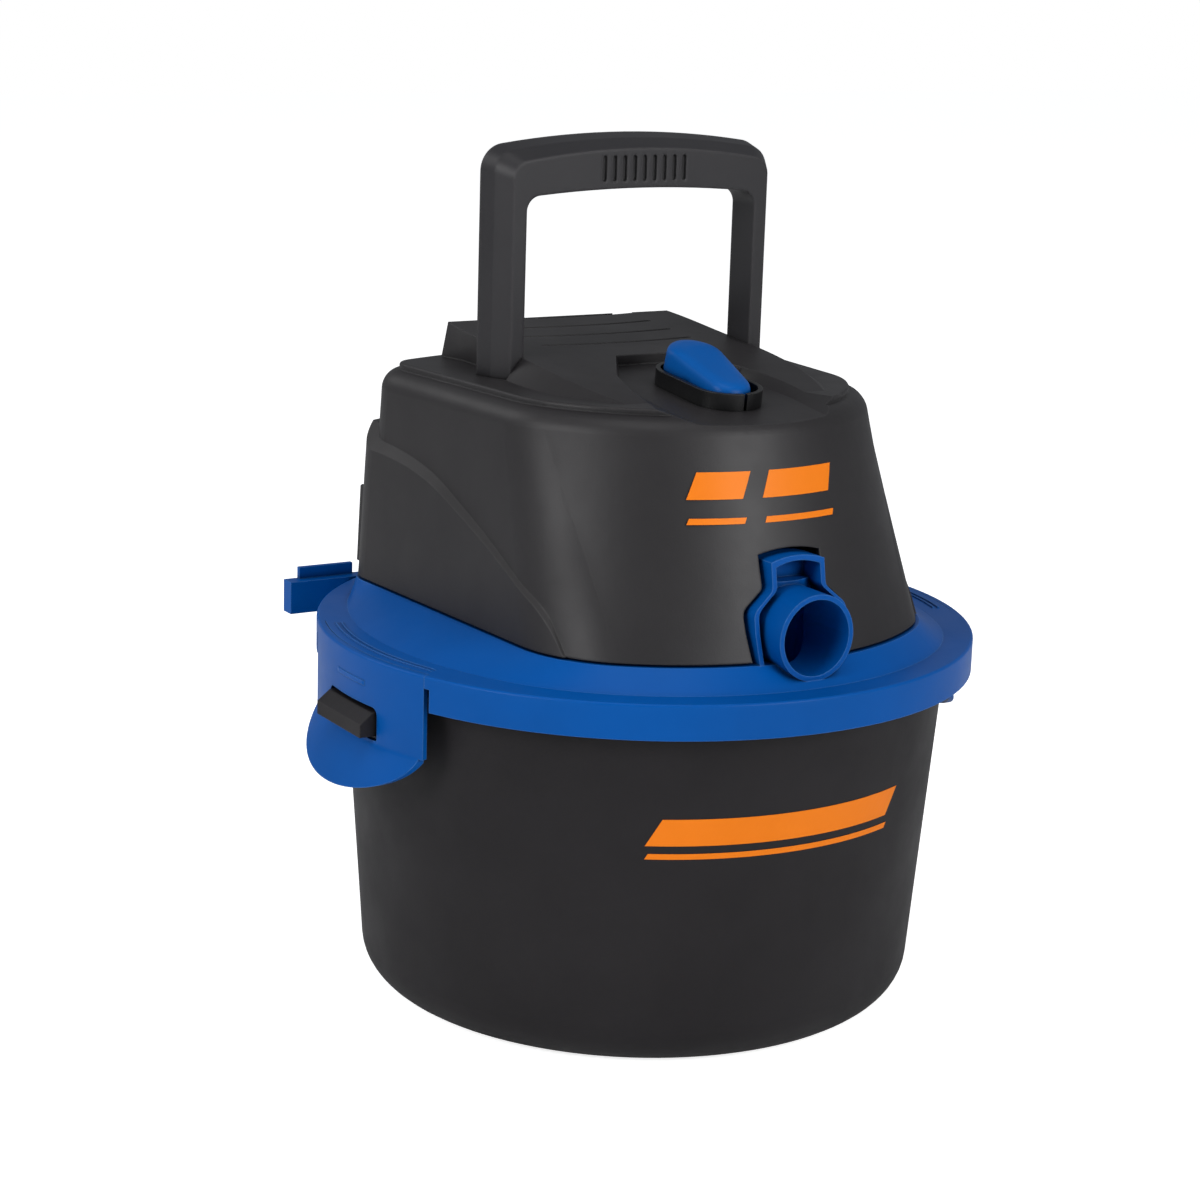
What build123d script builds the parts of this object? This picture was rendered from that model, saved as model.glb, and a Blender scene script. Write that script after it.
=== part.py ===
"""Small wet and dry shop vacuum: a tapered tank, and a lift-off head with motor, fan, filter and handle.

Millimetres, +Z up. The origin is the centre of the tank's base and -Y is the hose inlet side.
"""

import os
from math import cos, radians, sin, sqrt, tan

from build123d import *

# ================================================================ driving sizes
# Fits
pin_fit = 0.05          # radial clearance of a pin or shaft in its bore
shaft_fit = 0.01        # radial clearance of what is pressed onto the motor shaft
seat_gap = 0.1          # between pieces that rest against each other
running_gap = 0.8       # round a piece that tips or slides
edge_round = 1.2        # outer edges of the lid and of the housing's cap

# Tank
tank_wall = 2.6
tank_base_radius = 126.5
tank_base_round = 20.0
tank_inner_chamfer = 9.5
tank_neck_radius = 138.0
tank_neck_z = 157.0
rim_radius = 145.0
rim_height = 9.0
hook_proud = 5.5        # how far a catch hook's nose stands out from the lid's edge
hook_width = 42.0
hook_height = 13.0
hook_drop = 20.0        # neck down to a hook's underside
hook_nose_share = 0.45  # of the hook's height that its upright nose takes
hook_ramp_share = 0.8   # and where the steep part of its ramp ends

# Lid
gasket_thickness = 2.0
gasket_overhang = 1.5   # past the tank's rim, inwards
lid_wall = 2.5
rim_gap = 2.5           # between the tank's rim and the lid's skirt
skirt_depth = 15.5
riser_radius = 137.5
riser_height = 9.3
rib_height = 4.0        # of the rib that locates the housing from inside
rib_inset = 3.0         # of its outer face, clear of the housing's wall
wrap_arm_y = 123.0      # front face of the cord wrap arms behind the lid
wrap_arm_width = 8.0
wrap_arm_reach = 121.0
wrap_lip_height = 5.5
wrap_lip_length = 28.0
wrap_lip_inset = 7.0    # of the lip from the arm's end
wrap_arm_root = 6.0     # of an arm that is sunk into the lid's edge

# Latch tabs
latch_half_angle = 20.0
latch_slot = 3.0
latch_length = 37.0     # lid's top down to the finger lip's root
latch_bridge = 5.5      # height of the lid's edge left solid behind a tab
latch_ledge = 6.0       # depth of the notch in the lid's top over a tab
latch_knee_round = 4.0  # where the panel turns out into the finger lip
window_top_round = 3.5
window_low_round = 1.0
latch_hinge_in = 3.4    # the thinned hinge groove lies this far inside the lid's edge
window_half_width = 22.6
window_height = 14.5
window_drop = 2.0       # its lower edge below the hook, clear of it while the tab swings
lip_depth = 20.0
lip_flare = 11.5
lip_half_width = 49.0

# Hose inlet and its shroud, moulded with the lid
inlet_bore_radius = 16.5
inlet_wall = 2.2
inlet_axis_z = 191.5
inlet_reach = 134.5     # mouth of the tube from the centre line
inlet_drop_y = 94.0     # centre of the down-turned end
inlet_drop = 24.0       # how far it hangs below the deck
inlet_elbow_extra = 1.5 # the down-turned part is this much larger in radius
shroud_reach = 127.5    # of its front edge at the flange
shroud_lean = 0.18      # the front edge leans back with the housing's front
shroud_root = 104.0
shroud_wall = 2.2
shroud_bulge = 23.5     # half-width beside the tube
shroud_bulge_z = 193.0
shroud_shoulder_round = 6.0
shroud_waist_z = 210.0
shroud_waist_round = 4.0
shroud_neck_half_width = 13.5
shroud_top_z = 221.5
shroud_crown = 2.2
shroud_foot_half_width = 21.0
shroud_gap = 2.2        # clearance of the housing's keyhole round the shroud
tube_rib_inset = 3.0    # the rib under the tube starts this far behind its mouth

# Motor housing
housing_wall = 2.6
housing_seat = 1.0      # shadow gap between the deck and the housing's edge
housing_height = 98.0
housing_front_radius = 126.0
housing_front_top_radius = 95.0
housing_side_x = 97.0
housing_side_top_x = 90.0
housing_rear_x = 101.0
housing_rear_top_x = 98.0
housing_rear_y = 90.0
housing_rear_top_y = 86.0
housing_bulge = 18.0
housing_corner = 20.0
housing_cheek = 55.0    # blend between the round front and the straight sides
shoulder_round = 10.0
ceiling_thickness = 5.0   # the basin round the switch is sunk into it
panel_edge = 1.0        # how far the lower side panels stand out all along
panel_proud = 3.5       # and how much more at the rear
panel_height = 71.0     # of the crease above the panels, at the rear
panel_crease = [        # its sweep from the front foot: place along Y, and height
    (-90, -9), (-83, 0), (-65, 20), (-43, 32), (-21, 42), (3, 52), (26, 61), (51, 67), (74, 70),
    (92, panel_height),
]
panel_bevel_in = 4.0    # the bevel at the crease starts this far inside the housing's side
panel_bevel_out = 14.0  # and ends this far outside it
cap_height = 2.6
cap_inset = 7.0
cap_margin = 1.8        # of the cap left round the hood
cap_root = 4.0          # how deep the cap is rooted in the shoulder
louvre_count = 22
louvre_pitch = 9.0
louvre_slot = 3.5
louvre_height = 30.0
louvre_lift = 8.0
louvre_proud = 1.4
louvre_rib = 2.5
louvre_margin = 3.0
louvre_sill = 14.0      # the slots are cut from this far inside the housing's rear corner
louvre_front_y = 60.0   # the louvre wraps round the rear corners as far forward as this

# Hood on top of the housing
hood_rear_y = 84.0
hood_rear_height = 16.0     # above the cap, at the rear
hood_slope = 0.088          # fall of its top towards the front
hood_root = 6.5             # how deep it is rooted in the housing
hood_half_widths = (        # of its top and of its foot, from the rear to the front
    (60.0, 62.5), (61.0, 64.0), (61.0, 73.0), (60.0, 76.0), (55.0, 68.0), (45.0, 52.0),
)
hood_leg_margin = 4.0       # its sides stay straight this far round the handle's legs
hood_front_ys = (-20.0, -48.0, -80.0)
hood_foot_spread = 2.0      # that its root is wider than its foot
hood_pocket_front = 6.0     # wall left between the basin and the hollow behind it
hood_front_fall = 0.0006    # how fast the top curves down in front of the handle
basin_depth = 4.9
basin_slope = 0.1
basin_height = 12.0         # of the space over its floor
basin_stations = (8.0, -22.0, -60.0, -128.0)
basin_floor_widths = (14.0, 31.0, 34.0, 30.0)
basin_top_widths = (18.0, 37.0, 66.0, 96.0)
groove_count = 4
groove_pitch = 17.5
groove_front_y = 29.0
groove_half_length = 39.0
groove_sag = 2.5
groove_width = 2.2
groove_depth = 1.6
above = 60.0                # reach of a cut that clears everything above or in front of it

# Switch
switch_y = -44.6
switch_radius = 16.1
switch_straight = 27.0
bezel_wall = 2.0
bezel_slit = 1.6
bezel_height = 7.4
rocker_slope = 13.0         # degrees that its top rises towards the rear
rocker_pin_radius = 1.5
rocker_pin_lift = 4.0   # pin above the basin's floor
switch_flange_radius = 13.7
switch_flange_thickness = 1.0
switch_body_width = 23.2
switch_body_length = 36.0
switch_body_depth = 20.0
switch_hole_depth = 30.0    # below the basin's floor
switch_hole_margin = 4.0
switch_tab_count = 3
switch_tab_pitch = 10.0
switch_tab_width = 6.3      # blade terminals
switch_tab_thickness = 0.8
switch_tab_length = 6.0
rocker_front_less = 3.0     # its front round is this much smaller than its rear one
rocker_front_reach = 1.5    # and stands this much further out than the bezel's round
rocker_low = 1.6
rocker_relief_start = 1.5   # its underside is cut back from here to the rear
rocker_relief = 10.5        # degrees
rocker_crown = (            # height over its sides, and how far the egg is pulled in
    (0.0, 0.5), (1.3, 1.3), (2.3, 3.0), (2.8, 5.6),
)

# Handle
handle_front_y = 13.0
handle_depth = 18.0
handle_inner_half = 60.0
handle_leg_width = 6.5
handle_ridge = 5.0
handle_flare = 7.3
handle_top_z = 388.0
handle_crown = 6.0
handle_bevel = 6.0      # rise of the top edge from the front face to the rear
grip_height = 17.5
handle_corner = 12.0
handle_front_corner = 8.0
handle_ridge_corner = 10.0
handle_inner_corner = 7.0
grip_groove_count = 9
grip_groove_pitch = 5.2
grip_groove_length = 11.5
grip_groove_width = 2.2
grip_groove_depth = 1.3
handle_screw_radius = 2.0
handle_screw_head = 3.4
handle_screw_head_height = 2.2
handle_screw_inset = 5.0    # of its screws from the leg's front and rear
handle_seat_reach = 40.0

# Screws that hold the housing, the motor and the filter cage to the lid's deck
screw_radius = 2.0
screw_hole_radius = 2.3
screw_head_radius = 3.8
screw_head_height = 2.4
screw_bite = 14.0
boss_places = [(-80, 66), (80, 66), (-66, -56), (66, -56)]
boss_radius = 5.0
motor_post_circle = 67.0
motor_post_height = 3.0     # the motor's rubber ring is as thick
cage_post_circle = 62.0
cage_post_height = 10.0
post_radius = 5.0
post_bite = 9.0
posts_turn = 45.0           # degrees from X of the first motor post
end_gap = 0.5               # left at the end of a screw hole or a shaft

# Motor and suction fan
intake_radius = 26.0        # suction opening in the deck
gasket_outer_radius = 60.0
gasket_inner_radius = 46.0
fan_case_radius = 62.0
fan_case_height = 23.0
fan_case_wall = 2.0
fan_eye_radius = 18.0
impeller_radius = 55.0
impeller_disc = 1.2
impeller_hub_radius = 8.0
impeller_blades = 7
impeller_gap = 2.0          # above the case's floor
impeller_headroom = 4.0     # below the motor's frame
blade_thickness = 1.4
blade_middle = (36.0, 14.0) # a point that each swept-back blade passes
blade_end = 12.0            # how far a blade's outer end is swept
frame_thickness = 2.5
frame_hole_radius = 6.0
frame_hole_circle = 47.0
pillar_radius = 3.5
pillar_x = 27.8
pillar_y = 7.0
pillar_height = 14.0
frame_screw_radius = 1.5
shaft_radius = 4.0
bearing_radius = 11.0
bearing_width = 7.0
bearing_boss_radius = 14.0
stator_radius = 36.0
stator_half_width = 32.0
stator_bore = 20.8
stator_height = 25.0
stator_window_x = 18.5
stator_window_width = 11.0
stator_window_height = 30.0
armature_radius = 20.0
armature_slots = 12
coil_overhang = 5.0
coil_half_angle = 62.0
coil_leg_x = 22.7
coil_leg_y = 12.4
coil_leg_width = 2.0
coil_leg_length = 4.4
coil_inner_gap = 0.8        # between the coils and the stator's bore
coil_edge = 3.0             # of the stator left outside the coils
armature_slot_depth = 7.0
armature_slot_width = 1.8
armature_slot_inset = 2.2
winding_inset = 5.2
commutator_radius = 11.0
commutator_height = 6.0
commutator_slit = 0.5
commutator_slit_depth = 1.6
brush_width = 6.0
brush_length = 12.0
brush_reach = 27.0
cooling_fan_radius = 20.0
cooling_fan_height = 5.0
cooling_fan_blades = 9
cooling_fan_gap = 1.5       # above the upper bearing
frame_screw_head = 2.8
frame_screw_head_height = 2.0

# Filter cage, foam sleeve and float below the deck
cage_radius = 48.0
cage_wall = 2.4
cage_low_z = 92.0
cage_floor = 3.0
cage_flange = 3.0
cage_bars = 12
cage_bar_width = 7.0
cage_guide_radius = 30.8
foam_thickness = 9.5
float_radius = 30.0
float_height = 40.0

# Cord gland in the housing's rear wall
gland_z = 236.0
gland_face_y = 112.0
gland_boss_radius = 12.0
gland_flange_radius = 9.5
gland_radius = 7.0
gland_bore_radius = 3.6

# ================================================================ derived places
lid_radius = rim_radius + rim_gap + lid_wall
rim_top_z = tank_neck_z + rim_height
lid_under_z = rim_top_z + gasket_thickness
lid_top_z = lid_under_z + lid_wall
skirt_z = lid_top_z - skirt_depth
deck_z = lid_top_z + riser_height
deck_under_z = deck_z - lid_wall
housing_z = deck_z + housing_seat
shoulder_z = housing_z + housing_height
ceiling_z = shoulder_z - ceiling_thickness
cap_z = shoulder_z + cap_height
hook_z = tank_neck_z - hook_drop


def fraction(z):
    """Share of the housing's height at which z lies."""
    return (z - housing_z) / housing_height


def between(low, high, z):
    """Size at height z of something that tapers from low at the housing's foot to high at its shoulder."""
    return low + (high - low) * fraction(z)


def hood_top(y):
    """Height of the hood's top: a straight slope that curves down in front of the handle."""
    fall = hood_front_fall * max(0, handle_front_y - y) ** 2
    return cap_z + hood_rear_height - hood_slope * (hood_rear_y - y) - fall


def tank_radius(z):
    """Outer radius of the tapered tank."""
    return tank_base_radius + (tank_neck_radius - tank_base_radius) * z / tank_neck_z


# ================================================================ tank
with BuildPart() as tank:
    with BuildSketch(Plane.XZ):
        with BuildLine():
            Polyline(
                (0, 0),
                (tank_base_radius, 0),
                (tank_neck_radius, tank_neck_z),
                (rim_radius, tank_neck_z + tank_wall),
                (rim_radius, rim_top_z),
                (rim_radius - tank_wall, rim_top_z),
                (rim_radius - tank_wall, tank_neck_z + 2 * tank_wall),
                (tank_neck_radius - tank_wall, tank_neck_z + tank_wall / 2),
                (tank_base_radius - tank_wall, tank_wall),
                (0, tank_wall),
                close=True,
            )
        make_face()
        corners = vertices().filter_by_position(Axis.X, tank_base_radius - 1.5 * tank_wall, rim_radius)
        fillet(corners.group_by(Axis.Y)[0], tank_base_round)
        inner = vertices().filter_by_position(Axis.X, tank_base_radius - 1.1 * tank_wall,
                                              tank_base_radius - 0.9 * tank_wall)
        chamfer(inner, tank_inner_chamfer)
    revolve(axis=Axis.Z)
    # catch hooks: flat underside, ramped top, moulded on both sides of the neck
    for side in (-1, 1):
        root = tank_radius(hook_z) - tank_wall / 2
        nose = lid_radius + hook_proud
        with BuildSketch(Plane.XZ) as hook_profile:
            with BuildLine():
                Polyline(
                    (side * root, hook_z),
                    (side * nose, hook_z),
                    (side * nose, hook_z + hook_nose_share * hook_height),
                    (side * (nose - hook_nose_share * hook_height), hook_z + hook_ramp_share * hook_height),
                    (side * root, hook_z + hook_height),
                    close=True,
                )
            make_face()
        extrude(amount=hook_width / 2, both=True)
tank.part.label = "tank"

# ================================================================ lid gasket
gasket_radius = rim_radius - tank_wall / 2
with BuildPart() as lid_gasket:
    with BuildSketch(Plane.XY.offset(rim_top_z)):
        Circle(gasket_radius + tank_wall / 2)
        Circle(gasket_radius - tank_wall / 2 - gasket_overhang, mode=Mode.SUBTRACT)
    extrude(amount=gasket_thickness)
lid_gasket.part.label = "lid_gasket"


# ================================================================ housing outlines
def housing_outline(z, proud=0.0, inset=0.0):
    """D-shaped section of the housing at height z: round front, flattening sides, gently bulging rear."""
    front = between(housing_front_radius, housing_front_top_radius, z) - inset
    side = between(housing_side_x, housing_side_top_x, z) - inset
    rear_x = between(housing_rear_x, housing_rear_top_x, z) + proud - inset
    rear_y = between(housing_rear_y, housing_rear_top_y, z) + proud - inset
    front_y = -sqrt(front**2 - side**2)
    with BuildLine() as outline:
        ThreePointArc((-side, front_y), (0, -front), (side, front_y))
        Line((side, front_y), (rear_x, rear_y))
        ThreePointArc((rear_x, rear_y), (0, rear_y + housing_bulge), (-rear_x, rear_y))
        Line((-rear_x, rear_y), (-side, front_y))
    make_face(outline.edges())
    fillet(vertices().group_by(Axis.Y)[0], housing_cheek - inset)
    fillet(vertices().group_by(Axis.Y)[-1], housing_corner - inset)


def housing_block(z_low, z_high, proud=0.0, inset=0.0):
    """Loft of the housing's outline between two heights."""
    with BuildPart() as block:
        with BuildSketch(Plane.XY.offset(z_low)):
            housing_outline(z_low, proud, inset)
        with BuildSketch(Plane.XY.offset(z_high)):
            housing_outline(z_high, proud, inset)
        loft(ruled=True)
    return block.part


# ================================================================ lid
def shroud_outline(grow):
    """Keyhole outline round the inlet, in the XZ plane: bulging beside the tube, a narrow neck over it."""
    bulge = shroud_bulge + grow
    neck = shroud_neck_half_width + grow
    foot = shroud_foot_half_width + grow
    top = shroud_top_z + grow
    shoulder_z = (shroud_bulge_z + shroud_waist_z) / 2
    with BuildLine() as outline:
        for side in (-1, 1):
            Polyline((side * foot, lid_under_z), (side * bulge, shroud_bulge_z), (side * bulge, shoulder_z),
                     (side * neck, shroud_waist_z), (side * neck, top))
        ThreePointArc((-neck, top), (0, top + shroud_crown), (neck, top))
        Line((-foot, lid_under_z), (foot, lid_under_z))
    make_face(outline.edges())
    for height, corner_round in ((shoulder_z, shroud_shoulder_round), (shroud_waist_z, shroud_waist_round)):
        fillet(vertices().filter_by_position(Axis.Y, height - pin_fit, height + pin_fit), corner_round)


def inlet_tube(radius, mouth_y, low_z):
    """Inlet tube: straight back from its mouth, then down through the deck."""
    with BuildPart() as tube:
        with BuildSketch(Plane.XZ.offset(inlet_drop_y)):
            with Locations((0, inlet_axis_z)):
                Circle(radius)
        extrude(amount=mouth_y - inlet_drop_y)
        with BuildSketch(Plane.XY.offset(low_z)):
            with Locations((0, -inlet_drop_y)):
                Circle(radius + inlet_elbow_extra)
        extrude(amount=inlet_axis_z + radius + inlet_elbow_extra - low_z)
    return tube.part


inlet_low_z = deck_under_z - inlet_drop
inlet_outer = inlet_tube(inlet_bore_radius + inlet_wall, inlet_reach, inlet_low_z)
inlet_inner = inlet_tube(inlet_bore_radius, inlet_reach + 1, inlet_low_z - 1)

with BuildPart() as shroud:
    with BuildSketch(Plane.XZ.offset(shroud_root)):
        shroud_outline(0)
    extrude(amount=shroud_reach - shroud_root)
    with BuildSketch(Plane.XZ.offset(shroud_root + shroud_wall)):
        shroud_outline(-shroud_wall)
    extrude(amount=shroud_reach - shroud_root, mode=Mode.SUBTRACT)
    # its front edge leans back
    lean_top_z = shroud_top_z + 2 * shroud_crown
    with BuildSketch(Plane.YZ):
        with BuildLine():
            Polyline(
                (-shroud_reach, lid_top_z),
                (-shroud_reach + shroud_lean * (lean_top_z - lid_top_z), lean_top_z),
                (-shroud_reach - shroud_wall, lean_top_z),
                (-shroud_reach - shroud_wall, lid_top_z),
                close=True,
            )
        make_face()
    extrude(amount=2 * shroud_bulge, both=True, mode=Mode.SUBTRACT)

with BuildPart() as lid:
    # flange and the sloped riser that turns its round edge into the housing's outline
    with BuildSketch(Plane.XY.offset(skirt_z)):
        Circle(lid_radius)
    extrude(amount=skirt_depth)
    fillet(edges().group_by(Axis.Z)[-1], edge_round)
    with BuildSketch(Plane.XY.offset(lid_under_z)):
        Circle(riser_radius + lid_wall)
    with BuildSketch(Plane.XY.offset(deck_z)):
        housing_outline(housing_z, panel_proud, -panel_edge - 0.6)
    loft()
    # rib that locates the motor housing from inside
    add(housing_block(deck_z, deck_z + rib_height, 0, rib_inset))
    add(housing_block(deck_z, deck_z + rib_height + 1, 0, rib_inset + 2), mode=Mode.SUBTRACT)
    with BuildSketch(Plane.XZ.offset(shroud_root)):
        with Locations((0, deck_z + rib_height)):
            Rectangle(2 * (shroud_bulge + shroud_gap), 2 * rib_height)
    extrude(amount=shroud_root, mode=Mode.SUBTRACT)
    add(shroud.part)
    # hollow below
    with BuildSketch(Plane.XY.offset(skirt_z)):
        Circle(lid_radius - lid_wall)
    extrude(amount=skirt_depth - lid_wall, mode=Mode.SUBTRACT)
    with BuildSketch(Plane.XY.offset(lid_under_z - 1)):
        Circle(riser_radius - lid_wall)
    with BuildSketch(Plane.XY.offset(deck_under_z)):
        housing_outline(housing_z, panel_proud, 2 * lid_wall)
    loft(mode=Mode.SUBTRACT)
    # the inlet tube runs back through the shroud and turns down through the deck, on a small rib
    add(inlet_outer)
    with BuildSketch(Plane.YZ):
        with BuildLine():
            Polyline(
                (-inlet_reach + 2 * tube_rib_inset, lid_top_z - 1),
                (-inlet_reach + tube_rib_inset, inlet_axis_z - inlet_bore_radius - 1),
                (-inlet_drop_y, inlet_axis_z - inlet_bore_radius - 1),
                (-inlet_drop_y, lid_top_z - 1),
                close=True,
            )
        make_face()
    extrude(amount=lid_wall / 2, both=True)
    add(inlet_inner, mode=Mode.SUBTRACT)
    # suction opening in the deck, and holes for the housing's screws
    with BuildSketch(Plane.XY.offset(deck_under_z)):
        Circle(intake_radius)
        with Locations(*boss_places):
            Circle(screw_hole_radius)
    extrude(amount=lid_wall, mode=Mode.SUBTRACT)
    # posts that carry the motor above the deck and the filter cage below it
    with BuildSketch(Plane.XY.offset(deck_z + motor_post_height)):
        with PolarLocations(motor_post_circle, 4, posts_turn):
            Circle(post_radius)
    extrude(amount=-motor_post_height - lid_wall - post_bite / 2)
    with BuildSketch(Plane.XY.offset(deck_z + motor_post_height)):
        with PolarLocations(motor_post_circle, 4, posts_turn):
            Circle(screw_radius + pin_fit)
    extrude(amount=-post_bite - 1, mode=Mode.SUBTRACT)
    with BuildSketch(Plane.XY.offset(deck_under_z - cage_post_height)):
        with PolarLocations(cage_post_circle, 3, 90):
            Circle(post_radius)
    extrude(amount=cage_post_height)
    with BuildSketch(Plane.XY.offset(deck_under_z - cage_post_height)):
        with PolarLocations(cage_post_circle, 3, 90):
            Circle(screw_radius + pin_fit)
    extrude(amount=cage_post_height - end_gap, mode=Mode.SUBTRACT)
    # cord wrap arms behind the flange, each with an upturned lip
    arm_root_x = sqrt(lid_radius**2 - wrap_arm_y**2) - wrap_arm_root
    lip_centre_x = wrap_arm_reach - wrap_lip_length / 2 - wrap_lip_inset
    for side in (-1, 1):
        with BuildSketch(Plane.XY.offset(skirt_z)):
            with Locations((side * (arm_root_x + wrap_arm_reach) / 2, wrap_arm_y + wrap_arm_width / 2)):
                Rectangle(wrap_arm_reach - arm_root_x, wrap_arm_width)
        extrude(amount=skirt_depth)
        with BuildSketch(Plane.XY.offset(skirt_z)):
            with Locations((side * (arm_root_x + wrap_arm_reach) / 2, wrap_arm_y + wrap_arm_width / 2)):
                Rectangle(wrap_arm_reach - arm_root_x - 2 * lid_wall, wrap_arm_width - 2 * lid_wall)
        extrude(amount=skirt_depth - lid_wall, mode=Mode.SUBTRACT)
        with BuildSketch(Plane.XY.offset(lid_top_z)):
            with Locations((side * lip_centre_x, wrap_arm_y + wrap_arm_width - lid_wall / 2)):
                Rectangle(wrap_lip_length, lid_wall)
        extrude(amount=wrap_lip_height)
    # openings for the two latch tabs
    groove_radius = lid_radius - latch_hinge_in
    for side in (-1, 1):
        half = radians(latch_half_angle) + latch_slot / lid_radius
        reach = 2 * lid_radius
        with BuildSketch(Plane.XY.offset(skirt_z)):
            with BuildLine():
                Polyline((0, 0), (side * reach, -reach * sin(half) / cos(half)),
                         (side * reach, reach * sin(half) / cos(half)), close=True)
            make_face()
            Circle(groove_radius, mode=Mode.SUBTRACT)
        extrude(amount=skirt_depth - latch_bridge, mode=Mode.SUBTRACT)
        half = radians(latch_half_angle) + seat_gap / lid_radius
        with BuildSketch(Plane.XY.offset(lid_top_z - latch_ledge)):
            with BuildLine():
                Polyline((0, 0), (side * reach, -reach * sin(half) / cos(half)),
                         (side * reach, reach * sin(half) / cos(half)), close=True)
            make_face()
            Circle(groove_radius, mode=Mode.SUBTRACT)
        extrude(amount=latch_ledge + 1, mode=Mode.SUBTRACT)
lid.part.label = "lid"

# ================================================================ latch tabs
latch_root_z = lid_top_z - latch_length
window_z = hook_z - window_drop


def radial_plane(degrees_from_x):
    """Upright plane through the Z axis, its local x pointing outward."""
    a = radians(degrees_from_x)
    return Plane(origin=(0, 0, 0), x_dir=(cos(a), sin(a), 0), z_dir=(sin(a), -cos(a), 0))


def latch_tab():
    """Right-hand tab: curved panel hung from a thin groove, with a window and a half-round finger lip."""
    inner = lid_radius - lid_wall
    with BuildPart() as tab:
        with BuildSketch(radial_plane(-latch_half_angle)):
            with BuildLine():
                Polyline(
                    (groove_radius + running_gap / 3, lid_top_z),
                    (lid_radius, lid_top_z),
                    (lid_radius, latch_root_z),
                    (lid_radius + lip_flare, latch_root_z - lip_depth),
                    (lid_radius + lip_flare - lid_wall, latch_root_z - lip_depth),
                    (inner, latch_root_z - 2),
                    (inner, lid_under_z),
                    (groove_radius + running_gap / 3, lid_under_z),
                    close=True,
                )
            make_face()
            fillet(vertices().sort_by_distance((lid_radius, lid_top_z))[0], edge_round)
            fillet(vertices().sort_by_distance((lid_radius, latch_root_z))[0], latch_knee_round)
        revolve(axis=Axis.Z, revolution_arc=2 * latch_half_angle)
        # the lip is cut to a half-round
        with BuildSketch(Plane.YZ):
            with Locations((0, latch_root_z - lip_depth)):
                Rectangle(4 * lip_half_width, 2 * lip_depth)
            with Locations((0, latch_root_z)):
                Ellipse(lip_half_width, lip_depth, mode=Mode.SUBTRACT)
        extrude(amount=2 * lid_radius, mode=Mode.SUBTRACT)
        # window that drops over the tank's hook
        with BuildSketch(Plane.YZ):
            with Locations((0, window_z + window_height / 2)):
                Rectangle(2 * window_half_width, window_height)
            fillet(vertices().group_by(Axis.Y)[-1], window_top_round)
            fillet(vertices().group_by(Axis.Y)[0], window_low_round)
        extrude(amount=2 * lid_radius, mode=Mode.SUBTRACT)
    return tab.part


with BuildPart() as latch_right:
    add(latch_tab())
latch_right.part.label = "latch_right"

with BuildPart() as latch_left:
    add(mirror(latch_tab(), about=Plane.YZ, mode=Mode.PRIVATE))
latch_left.part.label = "latch_left"


# ================================================================ motor housing
def panel_region(drop):
    """Side view region above the swept crease, in the YZ plane; drop lowers the crease."""
    points = [(y, housing_z + lift - drop) for y, lift in panel_crease]
    beyond = max(housing_front_radius, housing_rear_y + housing_bulge) + panel_proud + shoulder_round
    with BuildLine() as outline:
        Spline(*points)
        Polyline(
            points[-1],
            (beyond, points[-1][1]),
            (beyond, shoulder_z + shoulder_round),
            (-beyond, shoulder_z + shoulder_round),
            (-beyond, points[0][1]),
            points[0],
        )
    make_face(outline.edges())


def side_panels(inset):
    """Lower rear panels, standing proud of the housing and ending at a bevelled crease."""
    high = housing_z + panel_height + shoulder_round / 2
    crease_in = housing_side_x - panel_bevel_in
    crease_out = housing_rear_x + panel_bevel_out
    with BuildPart() as panels:
        add(housing_block(housing_z, high, panel_proud, inset - panel_edge))
        with BuildSketch(Plane.YZ.offset(-crease_in)):
            panel_region(inset)
        extrude(amount=2 * crease_in, mode=Mode.SUBTRACT)
        for side in (-1, 1):
            with BuildSketch(Plane.YZ.offset(side * crease_in)):
                panel_region(inset)
            with BuildSketch(Plane.YZ.offset(side * crease_out)):
                panel_region(inset + crease_out - crease_in)
            loft(ruled=True, mode=Mode.SUBTRACT)
    return panels.part


def hood_body(inset):
    """Raised hood: straight at the rear, its flanks spreading into a slope in front of the handle."""
    leg_rear_y = handle_front_y + handle_depth + hood_leg_margin
    ys = (hood_rear_y, leg_rear_y, handle_front_y - hood_leg_margin, *hood_front_ys)
    with BuildPart() as body:
        for y, (top, foot) in zip(ys, hood_half_widths):
            with BuildSketch(Plane.XZ.offset(-y)):
                with BuildLine():
                    Polyline(
                        (-foot - hood_foot_spread + inset, cap_z - hood_root),
                        (-top + inset, hood_top(y) - inset),
                        (top - inset, hood_top(y) - inset),
                        (foot + hood_foot_spread - inset, cap_z - hood_root),
                        close=True,
                    )
                make_face()
        loft()
    return body.part


def basin_floor(y):
    """Height of the sloping floor round the switch."""
    return hood_top(basin_stations[0]) - basin_depth + basin_slope * (y - basin_stations[0])


def inside_cap(part):
    """Part of a solid that lies inside the cap's outline, seen from above."""
    with BuildPart() as kept:
        add(part)
        with BuildSketch(Plane.XY.offset(shoulder_z - shoulder_round)):
            housing_outline(shoulder_z, 0, cap_inset + cap_margin)
        extrude(amount=above, mode=Mode.INTERSECT)
    return kept.part


def legs(grow):
    """The two handle legs as plain prisms, a little larger, to cut their seats in the hood."""
    reach = handle_leg_width + handle_flare
    with BuildPart() as prisms:
        with BuildSketch(Plane.XY.offset(cap_z)):
            for side in (-1, 1):
                with Locations((side * (handle_inner_half + reach / 2), handle_front_y + handle_depth / 2)):
                    Rectangle(reach + 2 * grow, handle_depth + 2 * grow)
        extrude(amount=handle_seat_reach)
    return prisms.part


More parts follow.
